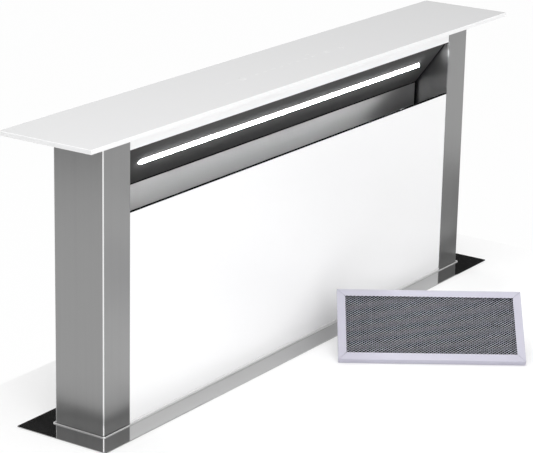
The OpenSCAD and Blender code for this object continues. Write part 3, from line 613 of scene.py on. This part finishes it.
# %% Zinc
SPANGLE = 130
zinc = Finish("zinc_sheet", grey(0.55), metallic=0.85, roughness=0.42)
spangle = zinc.cells(SPANGLE)
zinc.tones(spangle, (0.50, 0.515, 0.53), (0.62, 0.635, 0.65))
zinc.gloss(spangle, 0.34, 0.5)
zinc.bump(zinc.noise(60, 3.0), 0.00006, 0.3)
dress(zinc.material, "casing_shell", "casing_front", "casing_bottom", "worktop_clamps", "floor_feet",
      "blower_inlet")

galvanised = Finish("duct_steel", grey(0.6), metallic=0.9, roughness=0.35)
galvanised.tones(galvanised.cells(90), (0.55, 0.56, 0.58), (0.66, 0.67, 0.68))
galvanised.bump(galvanised.noise(80), 0.00005, 0.3)
dress(galvanised.material, "duct_outlet")
print("zinc on seven nodes")

# %% [markdown]
# ## Machined steel, cast aluminium and wire
# Rails, racks, shaft and pins are bright machined steel with fine turning marks. Motor housings are cast
# aluminium, which has a grainy skin. The handles are bent from bright drawn wire.

# %% Machined and cast metal
bright = Finish("bright_steel", grey(0.56), metallic=1.0, roughness=0.28)
bright.tones(bright.noise(150, 3.0, 0.6), grey(0.5), grey(0.62))
bright.gloss(bright.noise(300, 2.0), 0.2, 0.38)
dress(bright.material, "guide_rails", "lift_racks", "lift_shaft", "flap_pins", "casing_screws")

cast = Finish("motor_metal", grey(0.42), metallic=0.9, roughness=0.48)
cast.tones(cast.noise(400, 3.0), (0.36, 0.37, 0.38), (0.48, 0.49, 0.5))
cast.bump(cast.noise(900, 2.0), 0.0001, 0.5)
dress(cast.material, "fan_motor", "lift_motor")

wire = Finish("handle_wire", grey(0.62), metallic=1.0, roughness=0.16)
wire.gloss(wire.noise(500, 2.0), 0.1, 0.24)
dress(wire.material, "filter_handle_left", "filter_handle_middle", "filter_handle_right",
      "loose_filter_handle")

channel = Finish("led_channel", grey(0.66), metallic=1.0, roughness=0.34)
channel.tones(channel.noise(200, 2.0, 0.5, (BRUSH_LONG, 1, 1)), grey(0.6), grey(0.72))
dress(channel.material, "led_profile")

magnet = Finish("magnet_black", grey(0.12), metallic=0.6, roughness=0.42)
magnet.tones(magnet.noise(500), grey(0.09), grey(0.15))
dress(magnet.material, "panel_magnets")
print("metals on thirteen nodes")

# %% [markdown]
# ## Plastics, rubber and circuit boards
# Moulded covers have a fine spark-eroded grain, natural nylon is milky with a soft sheen, and rubber is
# dull and dusty. The boards' green mask gets lighter copper tracks from a brick pattern, which is how
# right-angled tracks look from a step away.

# %% Plastics, rubber and boards


def moulded(name, low, high, roughness, grain=1400, depth=0.00008):
    plastic = Finish(name, low, roughness=roughness)
    plastic.tones(plastic.noise(25, 4.0), low, high)
    plastic.gloss(plastic.noise(60, 3.0), roughness * 0.85, roughness * 1.15)
    plastic.bump(plastic.noise(grain, 2.0), depth, 0.5)
    return plastic.material


dark_plastic = moulded("dark_plastic", grey(0.045), grey(0.065), 0.5)
dress(dark_plastic, "blower_housing", "blower_cover", "outlet_adapter")
dress(moulded("wheel_plastic", grey(0.035), grey(0.05), 0.38), "fan_wheel")
dress(moulded("natural_nylon", (0.74, 0.72, 0.66), (0.8, 0.78, 0.73), 0.45, 700), "guide_shoes",
      "shaft_bearings", "flap_front", "flap_rear")
dress(moulded("box_plastic", (0.52, 0.53, 0.54), (0.57, 0.58, 0.59), 0.5), "control_box", "control_box_lid")
dress(moulded("seal_rubber", grey(0.02), grey(0.035), 0.75, 500, 0.0002), "wiper_seal", "sealing_tape")


def circuit_board():
    board = Finish("circuit_board", (0.02, 0.16, 0.07), roughness=0.35)
    tracks = board.node("ShaderNodeTexBrick")
    tracks.inputs["Color1"].default_value = (0.016, 0.15, 0.06, 1)
    tracks.inputs["Color2"].default_value = (0.02, 0.19, 0.08, 1)
    tracks.inputs["Mortar"].default_value = (0.06, 0.32, 0.14, 1)
    tracks.inputs["Scale"].default_value = 90
    tracks.inputs["Mortar Size"].default_value = 0.03
    board.tree.links.new(board.coordinates(turn=(math.pi / 2, 0, 0)), tracks.inputs["Vector"])
    return board.link(tracks.outputs["Color"], "Base Color").material


dress(circuit_board(), "touch_board", "control_board")
dress(moulded("board_white", grey(0.8), grey(0.84), 0.4), "led_board")
print("plastics, rubber and boards on fifteen nodes")

# %% [markdown]
# ## The light strip
# A row of white diodes shines through an opal lens in the sloping roof, and two narrow steel trims hold the
# lens in its slot. The lens is a low dome: it stands a little proud, so its light also grazes the steel
# beside it, which a flush lens can't do. A disc is squeezed to that profile, flattened at the back and
# extruded along the slot. The glow is plain emission, with a faint mottle from the opal.

# %% Light strip
LENS_GLOW = 40.0
LENS_W = 4.4 * MM
LENS_RISE = 3.4 * MM
LENS_BACK = 1.2 * MM
TRIM_PROUD = 0.1 * MM
TRIM_SOFT = 0.2 * MM
SLOT_W = 12.2 * MM
BACK_STEEP = 4

# the roof's fall and run, in millimetres
SLOPE_FALL, SLOPE_RUN = 59.0, 43.4
slope_start = Vector((0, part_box("fascia_strip")[1].y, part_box("fascia_strip")[0].z))
slope_frame = Matrix.Translation(slope_start) @ Matrix.Rotation(-math.atan2(SLOPE_FALL, SLOPE_RUN), 4, "X")
lens_middle = 31.4 * MM
lens_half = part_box("led_diffuser")[1].x


def light_lens(material):
    """Drawn on the slope: Y runs down it and -Z into the intake."""
    bm = bmesh.new()
    ring = bmesh.ops.create_circle(bm, cap_ends=True, radius=1, segments=32)["verts"]
    profile = ring[0].link_faces[0]
    for v in ring:
        across, out = v.co.x, v.co.y
        depth = -out * LENS_RISE if out > 0 else min(-BACK_STEEP * out * LENS_BACK, LENS_BACK)
        v.co = (-lens_half, lens_middle + across * LENS_W / 2, depth)
    extrude_faces(bm, [profile], (2 * lens_half, 0, 0))
    return move_mesh(finish_mesh(bm, "light_lens", material), slope_frame)


def lens_trims(material):
    bm = bmesh.new()
    for side in (-1, 1):
        edges = (lens_middle + side * LENS_W / 2, lens_middle + side * SLOT_W / 2)
        add_box(bm, (-lens_half, min(edges), -TRIM_PROUD), (lens_half, max(edges), LENS_BACK))
    soften(bm, bm.edges[:], TRIM_SOFT)
    return move_mesh(finish_mesh(bm, "lens_trims", material), slope_frame)


opal = Finish("light_lens", grey(0.9), roughness=0.4, Emission_Strength=LENS_GLOW)
opal.link(opal.between(opal.noise(40, 2.0), (0.97, 0.98, 1.0), (1.0, 1.0, 1.0)), "Emission Color")
lens = light_lens(opal.material)
trims = lens_trims(intake_steel)
for piece, slot in ((lens, "light_lens"), (trims, "intake_steel")):
    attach(piece, "tower")
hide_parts("led_diffuser")
print("light strip glows at", LENS_GLOW, "over", round(2 * lens_half / MM), "mm")

# %% [markdown]
# ## Seals in the intake, dark with painted shade
# Thin seals close the joints: a bead where the roof meets the filter wall, strips where roof and wall meet
# the cheeks, and a cap on the top edge of the front glass. Their near-black, sheenless colour is painted
# shade: it draws the shadowed seams at these joints. All are plain profiles, a disc and boxes, pulled along
# the joints. The strips in the corners end above the hanging filters, so that the filters clear them in every
# pose.

# %% Seals
BEAD_R = 0.7 * MM
BEAD_STEPS = 12
CAP_T = 0.5 * MM
CAP_INSET = 0.15 * MM
CAP_SOFT = 0.15 * MM
JOINT_W = 1.3 * MM
CORNER_W = 2.4 * MM
JOINT_T = 0.4 * MM
HANG_ROOM = 10.0 * MM
WALL_FACE = 12.25 * MM
wall_low, wall_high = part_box("filter_wall")
# painted shade: near-black and without sheen, the seals draw the shadowed seams of the joints
seal = Finish("seam_shade_black", grey(0.002), roughness=0.9, Specular_IOR_Level=0.0)
seal.tones(seal.noise(900), grey(0.0015), grey(0.003))


def roof_bead():
    start = Matrix.Translation((wall_low.x, WALL_FACE - BEAD_R / 2, wall_high.z))
    bm = bmesh.new()
    ring = add_disc(bm, BEAD_R, start @ Matrix.Rotation(math.pi / 2, 4, "Y"), BEAD_STEPS)
    extrude_faces(bm, [ring[0].link_faces[0]], (wall_high.x - wall_low.x, 0, 0))
    return finish_mesh(bm, "roof_bead", seal.material)


def cheek_strips():
    """Up the corners of the wall, then along the ends of the sloping roof."""
    bm = bmesh.new()
    slope_l = math.hypot(SLOPE_FALL, SLOPE_RUN) * MM
    hang_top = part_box("filter_frame_left")[1].z + HANG_ROOM
    for side in (-1, 1):
        roof = sorted((side * wall_high.x, side * (wall_high.x - JOINT_W)))
        verts = add_box(bm, (roof[0], 0, -JOINT_T), (roof[1], slope_l, 0))
        bmesh.ops.transform(bm, verts=verts, matrix=slope_frame)
        corner = sorted((side * wall_high.x, side * (wall_high.x - CORNER_W)))
        add_box(bm, (corner[0], WALL_FACE - JOINT_T, hang_top), (corner[1], WALL_FACE, wall_high.z))
    return finish_mesh(bm, "cheek_strips", seal.material)


def glass_cap():
    low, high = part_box("front_glass")
    bm = bmesh.new()
    add_box(bm, (low.x, low.y + CAP_INSET, high.z), (high.x, high.y, high.z + CAP_T))
    soften(bm, bm.edges[:], CAP_SOFT)
    return finish_mesh(bm, "glass_cap", seal.material)


for piece, body in ((roof_bead(), "tower"), (cheek_strips(), "tower"), (glass_cap(), "front_panel")):
    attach(piece, body)
print("three seals")

# %% [markdown]
# ## Expanded metal for the filters
# The grease filters are covered with expanded metal: a sheet is slit and pulled until the slits open into
# lozenges. All strands tilt a little, which is what makes such a sheet glitter, and they stay joined in
# broad bonds at the ends of each slit. One lozenge is a four-sided ring, made by insetting a square and
# drawing its hole in from the sides. Copies of it fill the sheet, and Solidify gives the strands their
# thickness.

# %% Expanded metal sheet
LOZENGE_W = 4.7 * MM
LOZENGE_H = 3.3 * MM
STRAND = 0.24 * MM
BOND = 0.88
STRAND_THICK = 0.2 * MM
STRAND_TILT = 0.8 * MM
filter_w = 0.224
filter_h = 0.104
filter_t = 0.008
filter_rim = 0.010


def repeat(bm, count, step):
    """Copies everything in a row, count times in all."""
    whole = bm.verts[:] + bm.edges[:] + bm.faces[:]
    for i in range(1, count):
        made = bmesh.ops.duplicate(bm, geom=whole)["geom"]
        verts = [v for v in made if isinstance(v, bmesh.types.BMVert)]
        bmesh.ops.translate(bm, verts=verts, vec=Vector(step) * i)


def lozenge(bm, x, z):
    """A ring of four flat strands round one hole; its upper inner corner leans out and its lower one in."""
    ring = bmesh.ops.create_circle(bm, cap_ends=True, radius=1, segments=4)["verts"]
    face = ring[0].link_faces[0]
    for v in ring:
        v.co = (x + v.co.x * LOZENGE_W / 2, 0, z + v.co.y * LOZENGE_H / 2)
    bmesh.ops.inset_region(bm, faces=[face], thickness=STRAND, use_boundary=True, use_even_offset=True)
    inner = face.verts[:]
    for v in inner:
        v.co.x = x + (v.co.x - x) * BOND
    top, low = max(inner, key=lambda v: v.co.z), min(inner, key=lambda v: v.co.z)
    top.co.y -= STRAND_TILT
    low.co.y += STRAND_TILT
    bmesh.ops.delete(bm, geom=[face], context="FACES_ONLY")


def expanded_sheet(name, width, height, material):
    """Stands in the X-Z plane about the origin, its raised side towards -Y."""
    columns = int(width / LOZENGE_W)
    rows = int(height / LOZENGE_H)
    bm = bmesh.new()
    lozenge(bm, 0, 0)
    lozenge(bm, LOZENGE_W / 2, LOZENGE_H / 2)
    repeat(bm, columns, (LOZENGE_W, 0, 0))
    repeat(bm, rows, (0, 0, LOZENGE_H))
    to_middle = (-(columns - 0.5) * LOZENGE_W / 2, 0, -(rows - 0.5) * LOZENGE_H / 2)
    bmesh.ops.translate(bm, verts=bm.verts, vec=to_middle)
    piece = finish_mesh(bm, name, material, outward=False)
    thicken = piece.modifiers.new("thickness", "SOLIDIFY")
    thicken.thickness = STRAND_THICK
    thicken.offset = 0
    return piece


strand_metal = Finish("filter_mesh", grey(0.55), metallic=0.6, roughness=0.4)
strand_metal.tones(strand_metal.noise(300, 3.0), (0.54, 0.55, 0.61), (0.74, 0.75, 0.83))
# painted shade: the pad behind the sheet stands for the filter's inner layers, near-black and without sheen
# so that the holes read dark
shaded_pad = Finish("filter_pad", grey(0.03), roughness=0.8, Specular_IOR_Level=0.05)
shaded_pad.tones(shaded_pad.noise(900, 4.0, 0.8), (0.002, 0.002, 0.003), (0.010, 0.010, 0.014))
shaded_pad.bump(shaded_pad.noise(700, 4.0, 0.7), 0.0008, 1.0)
holes = 2 * int((filter_w - filter_rim) / LOZENGE_W) * int((filter_h - filter_rim) / LOZENGE_H)
print("one sheet has", holes, "holes")

# %% [markdown]
# ## The filter frame
# The frame is folded from four lengths of one channel, mitred at the corners. Each rail is an extruded
# channel profile that bisect_plane cuts at 45 degrees, with a hair's breadth left at the mitre so that
# the seam shows as it does in the photograph. The two small ears on the handle's side carry the wire.

# %% Mitred filter frame
RAIL_WALL = 0.6 * MM
RAIL_HEM = 2.0 * MM
RAIL_SOFT = 0.25 * MM
SHARP_RADIANS = 1.2
MITRE_GAP = 0.12 * MM
EAR_T = 1.5 * MM
EAR_W = 8.0 * MM
EAR_REACH = 4.5 * MM
handle_w = 0.086
pivot_up = filter_h - filter_rim / 2


def rail(bm, length, turn, shift):
    """One channel with its back on the frame's outer edge, cut to a mitre at both ends."""
    before = set(bm.verts)
    half = length / 2
    verts = add_box(bm, (-half, 0, 0), (half, filter_t, filter_rim))
    inner = [f for f in set(f for v in verts for f in v.link_faces) if f.normal.z > 0.9]
    bmesh.ops.inset_region(bm, faces=inner, thickness=RAIL_HEM, use_even_offset=True)
    bmesh.ops.translate(bm, verts=inner[0].verts[:], vec=(0, 0, -(filter_rim - RAIL_WALL)))
    for side in (-1, 1):
        verts = added(bm, before)
        edges = list(set(e for v in verts for e in v.link_edges))
        faces = list(set(f for v in verts for f in v.link_faces))
        cut = bmesh.ops.bisect_plane(bm, geom=verts + edges + faces, dist=1e-7, clear_outer=True,
                                     plane_co=(side * (half - MITRE_GAP), 0, 0), plane_no=(side, 0, 1))
        seam = [e for e in cut["geom_cut"] if isinstance(e, bmesh.types.BMEdge)]
        bmesh.ops.holes_fill(bm, edges=seam)
    place = Matrix.Translation(shift) @ Matrix.Rotation(turn, 4, "Y")
    bmesh.ops.transform(bm, verts=added(bm, before), matrix=place)


def filter_frame(name, material):
    """Stands in the X-Z plane with its lower edge at z = 0 and its handle side at y = 0."""
    bm = bmesh.new()
    rail(bm, filter_w, 0, (0, 0, 0))
    rail(bm, filter_w, math.pi, (0, 0, filter_h))
    rail(bm, filter_h, math.pi / 2, (-filter_w / 2, 0, filter_h / 2))
    rail(bm, filter_h, -math.pi / 2, (filter_w / 2, 0, filter_h / 2))
    soften(bm, [e for e in bm.edges if e.is_manifold and e.calc_face_angle(0) > SHARP_RADIANS], RAIL_SOFT)
    for side in (-1, 1):
        x = side * (handle_w / 2 + EAR_T)
        low = (x - EAR_T / 2, -EAR_REACH, pivot_up - EAR_W / 2)
        high = (x + EAR_T / 2, RAIL_WALL / 2, pivot_up + EAR_W / 2)
        add_box(bm, low, high)
    return finish_mesh(bm, name, material)


frame_paint = Finish("filter_paint", (0.50, 0.49, 0.57), roughness=0.5)
frame_paint.tones(frame_paint.noise(20, 3.0), (0.46, 0.45, 0.53), (0.52, 0.51, 0.59))
frame_paint.bump(frame_paint.noise(900, 2.0), 0.00004, 0.4)
print("rail:", round(filter_rim / MM), "by", round(filter_t / MM), "mm")

# %% [markdown]
# ## Four filters in their places
# Three filters hang in the wall behind the front glass, and the fourth leans on its own handle in front.
# All four are the same object. The loose one is mirrored front to back, turned and tipped, as the part's
# own source does it, and the place goes into the vertices.

# %% Filters
MESH_DEPTH = 5.2 * MM
PAD_DEPTH = 3.2 * MM
PAD_T = 1.6 * MM
loose_turn = math.radians(-55)
loose_tilt = math.radians(34)
LOOSE_X = -0.035
GLASS_FRONT = -0.062
LOOSE_GAP = 0.0006
loose_reach = filter_h * math.cos(loose_tilt) * math.cos(loose_turn)
loose_corner = Vector((LOOSE_X, GLASS_FRONT - LOOSE_GAP - loose_reach, 0))


def pad(name, width, height):
    bm = bmesh.new()
    low = (-width / 2, PAD_DEPTH - PAD_T / 2, -height / 2)
    high = (width / 2, PAD_DEPTH + PAD_T / 2, height / 2)
    add_box(bm, low, high)
    return finish_mesh(bm, name, shaded_pad.material)


def hang_place(node):
    low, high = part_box(node)
    return Matrix.Translation(((low.x + high.x) / 2, high.y - filter_t, low.z))


def loose_place():
    turn = Matrix.Rotation(loose_turn, 4, "Z") @ Matrix.Translation((filter_w / 2, 0, 0))
    tip = Matrix.Rotation(loose_tilt - math.pi / 2, 4, "X") @ Matrix.Diagonal((1, -1, 1, 1))
    return Matrix.Translation(loose_corner) @ turn @ tip


def add_filter(which, place, body, frame_node, mesh_node):
    inner_w = filter_w - filter_rim
    inner_h = filter_h - filter_rim
    middle = Matrix.Translation((0, 0, filter_h / 2))
    pieces = [filter_frame(which + "_frame", frame_paint.material),
              expanded_sheet(which + "_sheet", inner_w, inner_h, strand_metal.material),
              pad(which + "_pad", inner_w, inner_h)]
    move_mesh(pieces[1], middle @ Matrix.Translation((0, MESH_DEPTH, 0)) @ Matrix.Diagonal((1, -1, 1, 1)))
    move_mesh(pieces[2], middle)
    for piece in pieces:
        move_mesh(piece, place)
        if place.determinant() < 0:
            piece.data.flip_normals()
        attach(piece, body)
    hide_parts(frame_node)
    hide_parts(mesh_node)


for side in ("left", "middle", "right"):
    node = "filter_frame_" + side
    add_filter("filter_" + side, hang_place(node), "filter_" + side, node, "filter_mesh_" + side)
add_filter("loose_filter", loose_place(), "loose_filter", "loose_filter_frame", "loose_filter_mesh")
print("filters: three in the wall and one in front")

# %% [markdown]
# ## Screws and the motor lead
# Below the worktop a fitter sees how the vent is put together: six screws hold the motor's flange, four
# hold the lid of the control box, and one lead runs from the box's gland to the motor. A screw head is an
# extruded disc with a softened rim and a socket, made by insetting its face and pushing it in. The lead is
# a row of rings along a Bezier curve, bridged one to the next.

# %% Screws and lead
SCREW_R = 3.2 * MM
SCREW_H = 2.2 * MM
SCREW_SOFT = 0.6 * MM
SCREW_STEPS = 24
SOCKET_R = 1.6 * MM
FLANGE_SCREWS = 6
FLANGE_BOLT_R = 54.0 * MM
FLANGE_T = 2.5 * MM
LID_INSET = 9 * MM
GLAND_Y = -78.0 * MM
LEAD_R = 3.4 * MM
LEAD_SIDES = 12
LEAD_STEPS = 40
LEAD_TUCK = 10 * MM
LEAD_DROP = 50 * MM
LEAD_OFF_AXIS = 44 * MM
LEAD_END_Y = -202 * MM
knee_pull = Vector((0, 0, 80 * MM))
end_pull = Vector((135 * MM, 28 * MM, 0))
motor_low, motor_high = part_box("fan_motor")
lid_low, lid_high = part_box("control_box_lid")
motor_middle = Vector(((motor_low.x + motor_high.x) / 2, 0, (motor_low.z + motor_high.z) / 2))
flange_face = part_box("blower_cover")[0].y - FLANGE_T
gland_place = Vector(((lid_low.x + lid_high.x) / 2, GLAND_Y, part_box("control_box")[0].z))


def screw_head(bm, place):
    """Stands on the face at the place and points to the front."""
    before = set(bm.verts)
    ring = add_disc(bm, SCREW_R, Matrix(), SCREW_STEPS)
    top = extrude_faces(bm, [ring[0].link_faces[0]], (0, 0, SCREW_H))
    rim = [e for e in set(e for v in top for e in v.link_edges) if all(v in top for v in e.verts)]
    soften(bm, rim, SCREW_SOFT, 3)
    faces = [f for v in added(bm, before) for f in v.link_faces]
    face = max(faces, key=lambda f: f.calc_center_median().z)
    bmesh.ops.inset_region(bm, faces=[face], thickness=SCREW_R - SCREW_SOFT - SOCKET_R, use_even_offset=True)
    extrude_faces(bm, [face], (0, 0, -SCREW_H / 2))
    bmesh.ops.delete(bm, geom=[face], context="FACES_ONLY")
    stand = Matrix.Translation(place) @ Matrix.Rotation(math.pi / 2, 4, "X")
    bmesh.ops.transform(bm, verts=added(bm, before), matrix=stand)


def screws():
    bm = bmesh.new()
    for i in range(FLANGE_SCREWS):
        turn = math.radians(360 / FLANGE_SCREWS * (i + 0.5))
        offset = Vector((FLANGE_BOLT_R * math.cos(turn), flange_face, FLANGE_BOLT_R * math.sin(turn)))
        screw_head(bm, motor_middle + offset)
    for x in (lid_low.x + LID_INSET, lid_high.x - LID_INSET):
        for z in (lid_low.z + LID_INSET, lid_high.z - LID_INSET):
            screw_head(bm, Vector((x, lid_low.y, z)))
    return finish_mesh(bm, "cover_screws", bright.material)


def motor_lead():
    start = gland_place + Vector((0, 0, LEAD_TUCK))
    knee = gland_place - Vector((0, 0, LEAD_DROP))
    end = Vector((motor_middle.x - LEAD_OFF_AXIS, LEAD_END_Y, motor_middle.z))
    path = [start] + geometry.interpolate_bezier(knee, knee - knee_pull, end - end_pull, end, LEAD_STEPS)
    bm = bmesh.new()
    loops = []
    for i, point in enumerate(path):
        ahead = path[min(i + 1, len(path) - 1)] - path[max(i - 1, 0)]
        place = Matrix.Translation(point) @ ahead.to_track_quat("Z", "X").to_matrix().to_4x4()
        ring = bmesh.ops.create_circle(bm, radius=LEAD_R, segments=LEAD_SIDES, matrix=place)["verts"]
        loops.append(list(set(e for v in ring for e in v.link_edges)))
    for first, second in zip(loops, loops[1:]):
        bmesh.ops.bridge_loops(bm, edges=first + second)
    bmesh.ops.holes_fill(bm, edges=loops[0] + loops[-1])
    return finish_mesh(bm, "motor_lead", lead_rubber, smooth=True)


lead_rubber = moulded("lead_rubber", grey(0.012), grey(0.02), 0.6, 700)
for piece, slot in ((screws(), "bright_steel"), (motor_lead(), "black_rubber")):
    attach(piece, "casing")
print("ten screws and one lead")

# %% [markdown]
# ## Touch marks
# The keys are pale print under the glass: a light mark, a power ring, a row of eight level bars, a timer
# mark and two more icons. Thin inlays a twentieth of a millimetre high stand for the print. Each is put
# together from plain rings and bars.

# %% Touch marks
lid_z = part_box("glass_top")[1].z
MARK_H = 0.05 * MM
MARK_Y = -4.0 * MM
RING_STEPS = 24
LEVEL_STEP = 17.1 * MM
LEVEL_COUNT = 8
light_x = -118.8 * MM
power_x = -90.2 * MM
first_level_x = -60.0 * MM
dot_x = 61.3 * MM
timer_x = 89.5 * MM
star_x = 121.2 * MM


def mark_ring(bm, x, y, radius, hole):
    verts = add_disc(bm, radius, Matrix.Translation((x, y, lid_z)), RING_STEPS)
    face = verts[0].link_faces[0]
    bmesh.ops.inset_region(bm, faces=[face], thickness=radius - hole, use_boundary=True,
                           use_even_offset=True)
    rim = [f for v in verts for f in v.link_faces if f is not face]
    bmesh.ops.delete(bm, geom=[face], context="FACES_ONLY")
    extrude_faces(bm, list(set(rim)), (0, 0, MARK_H))


def mark_bar(bm, x, y, width, depth, angle=0.0):
    half = Vector((width / 2, depth / 2, MARK_H / 2))
    verts = add_box(bm, -half, half)
    place = Matrix.Translation((x, y, lid_z + MARK_H / 2)) @ Matrix.Rotation(angle, 4, "Z")
    bmesh.ops.transform(bm, verts=verts, matrix=place)


def touch_marks():
    bm = bmesh.new()
    mark_bar(bm, light_x, MARK_Y, 7 * MM, 0.9 * MM)
    mark_ring(bm, power_x, MARK_Y, 5.0 * MM, 3.2 * MM)
    mark_bar(bm, power_x, MARK_Y + 3.6 * MM, 1.3 * MM, 4.0 * MM)
    for i in range(LEVEL_COUNT):
        mark_bar(bm, first_level_x + i * LEVEL_STEP, MARK_Y, 5.4 * MM, 2.2 * MM)
    mark_bar(bm, dot_x, MARK_Y + 10.3 * MM, 8 * MM, 1.0 * MM)
    mark_ring(bm, timer_x, MARK_Y, 4.2 * MM, 3.2 * MM)
    mark_bar(bm, timer_x, MARK_Y + 1.2 * MM, 0.9 * MM, 3.0 * MM)
    mark_bar(bm, timer_x + 0.9 * MM, MARK_Y, 2.4 * MM, 0.9 * MM)
    for turn in (0, 60, 120):
        mark_bar(bm, star_x, MARK_Y, 8.4 * MM, 0.9 * MM, math.radians(turn))
    return finish_mesh(bm, "touch_marks", print_white.material)


print_white = Finish("touch_print", grey(0.9), roughness=0.2)
print_white.tones(print_white.noise(900), grey(0.88), grey(0.93))
marks = touch_marks()
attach(marks, "tower")
print("touch marks:", LEVEL_COUNT, "levels")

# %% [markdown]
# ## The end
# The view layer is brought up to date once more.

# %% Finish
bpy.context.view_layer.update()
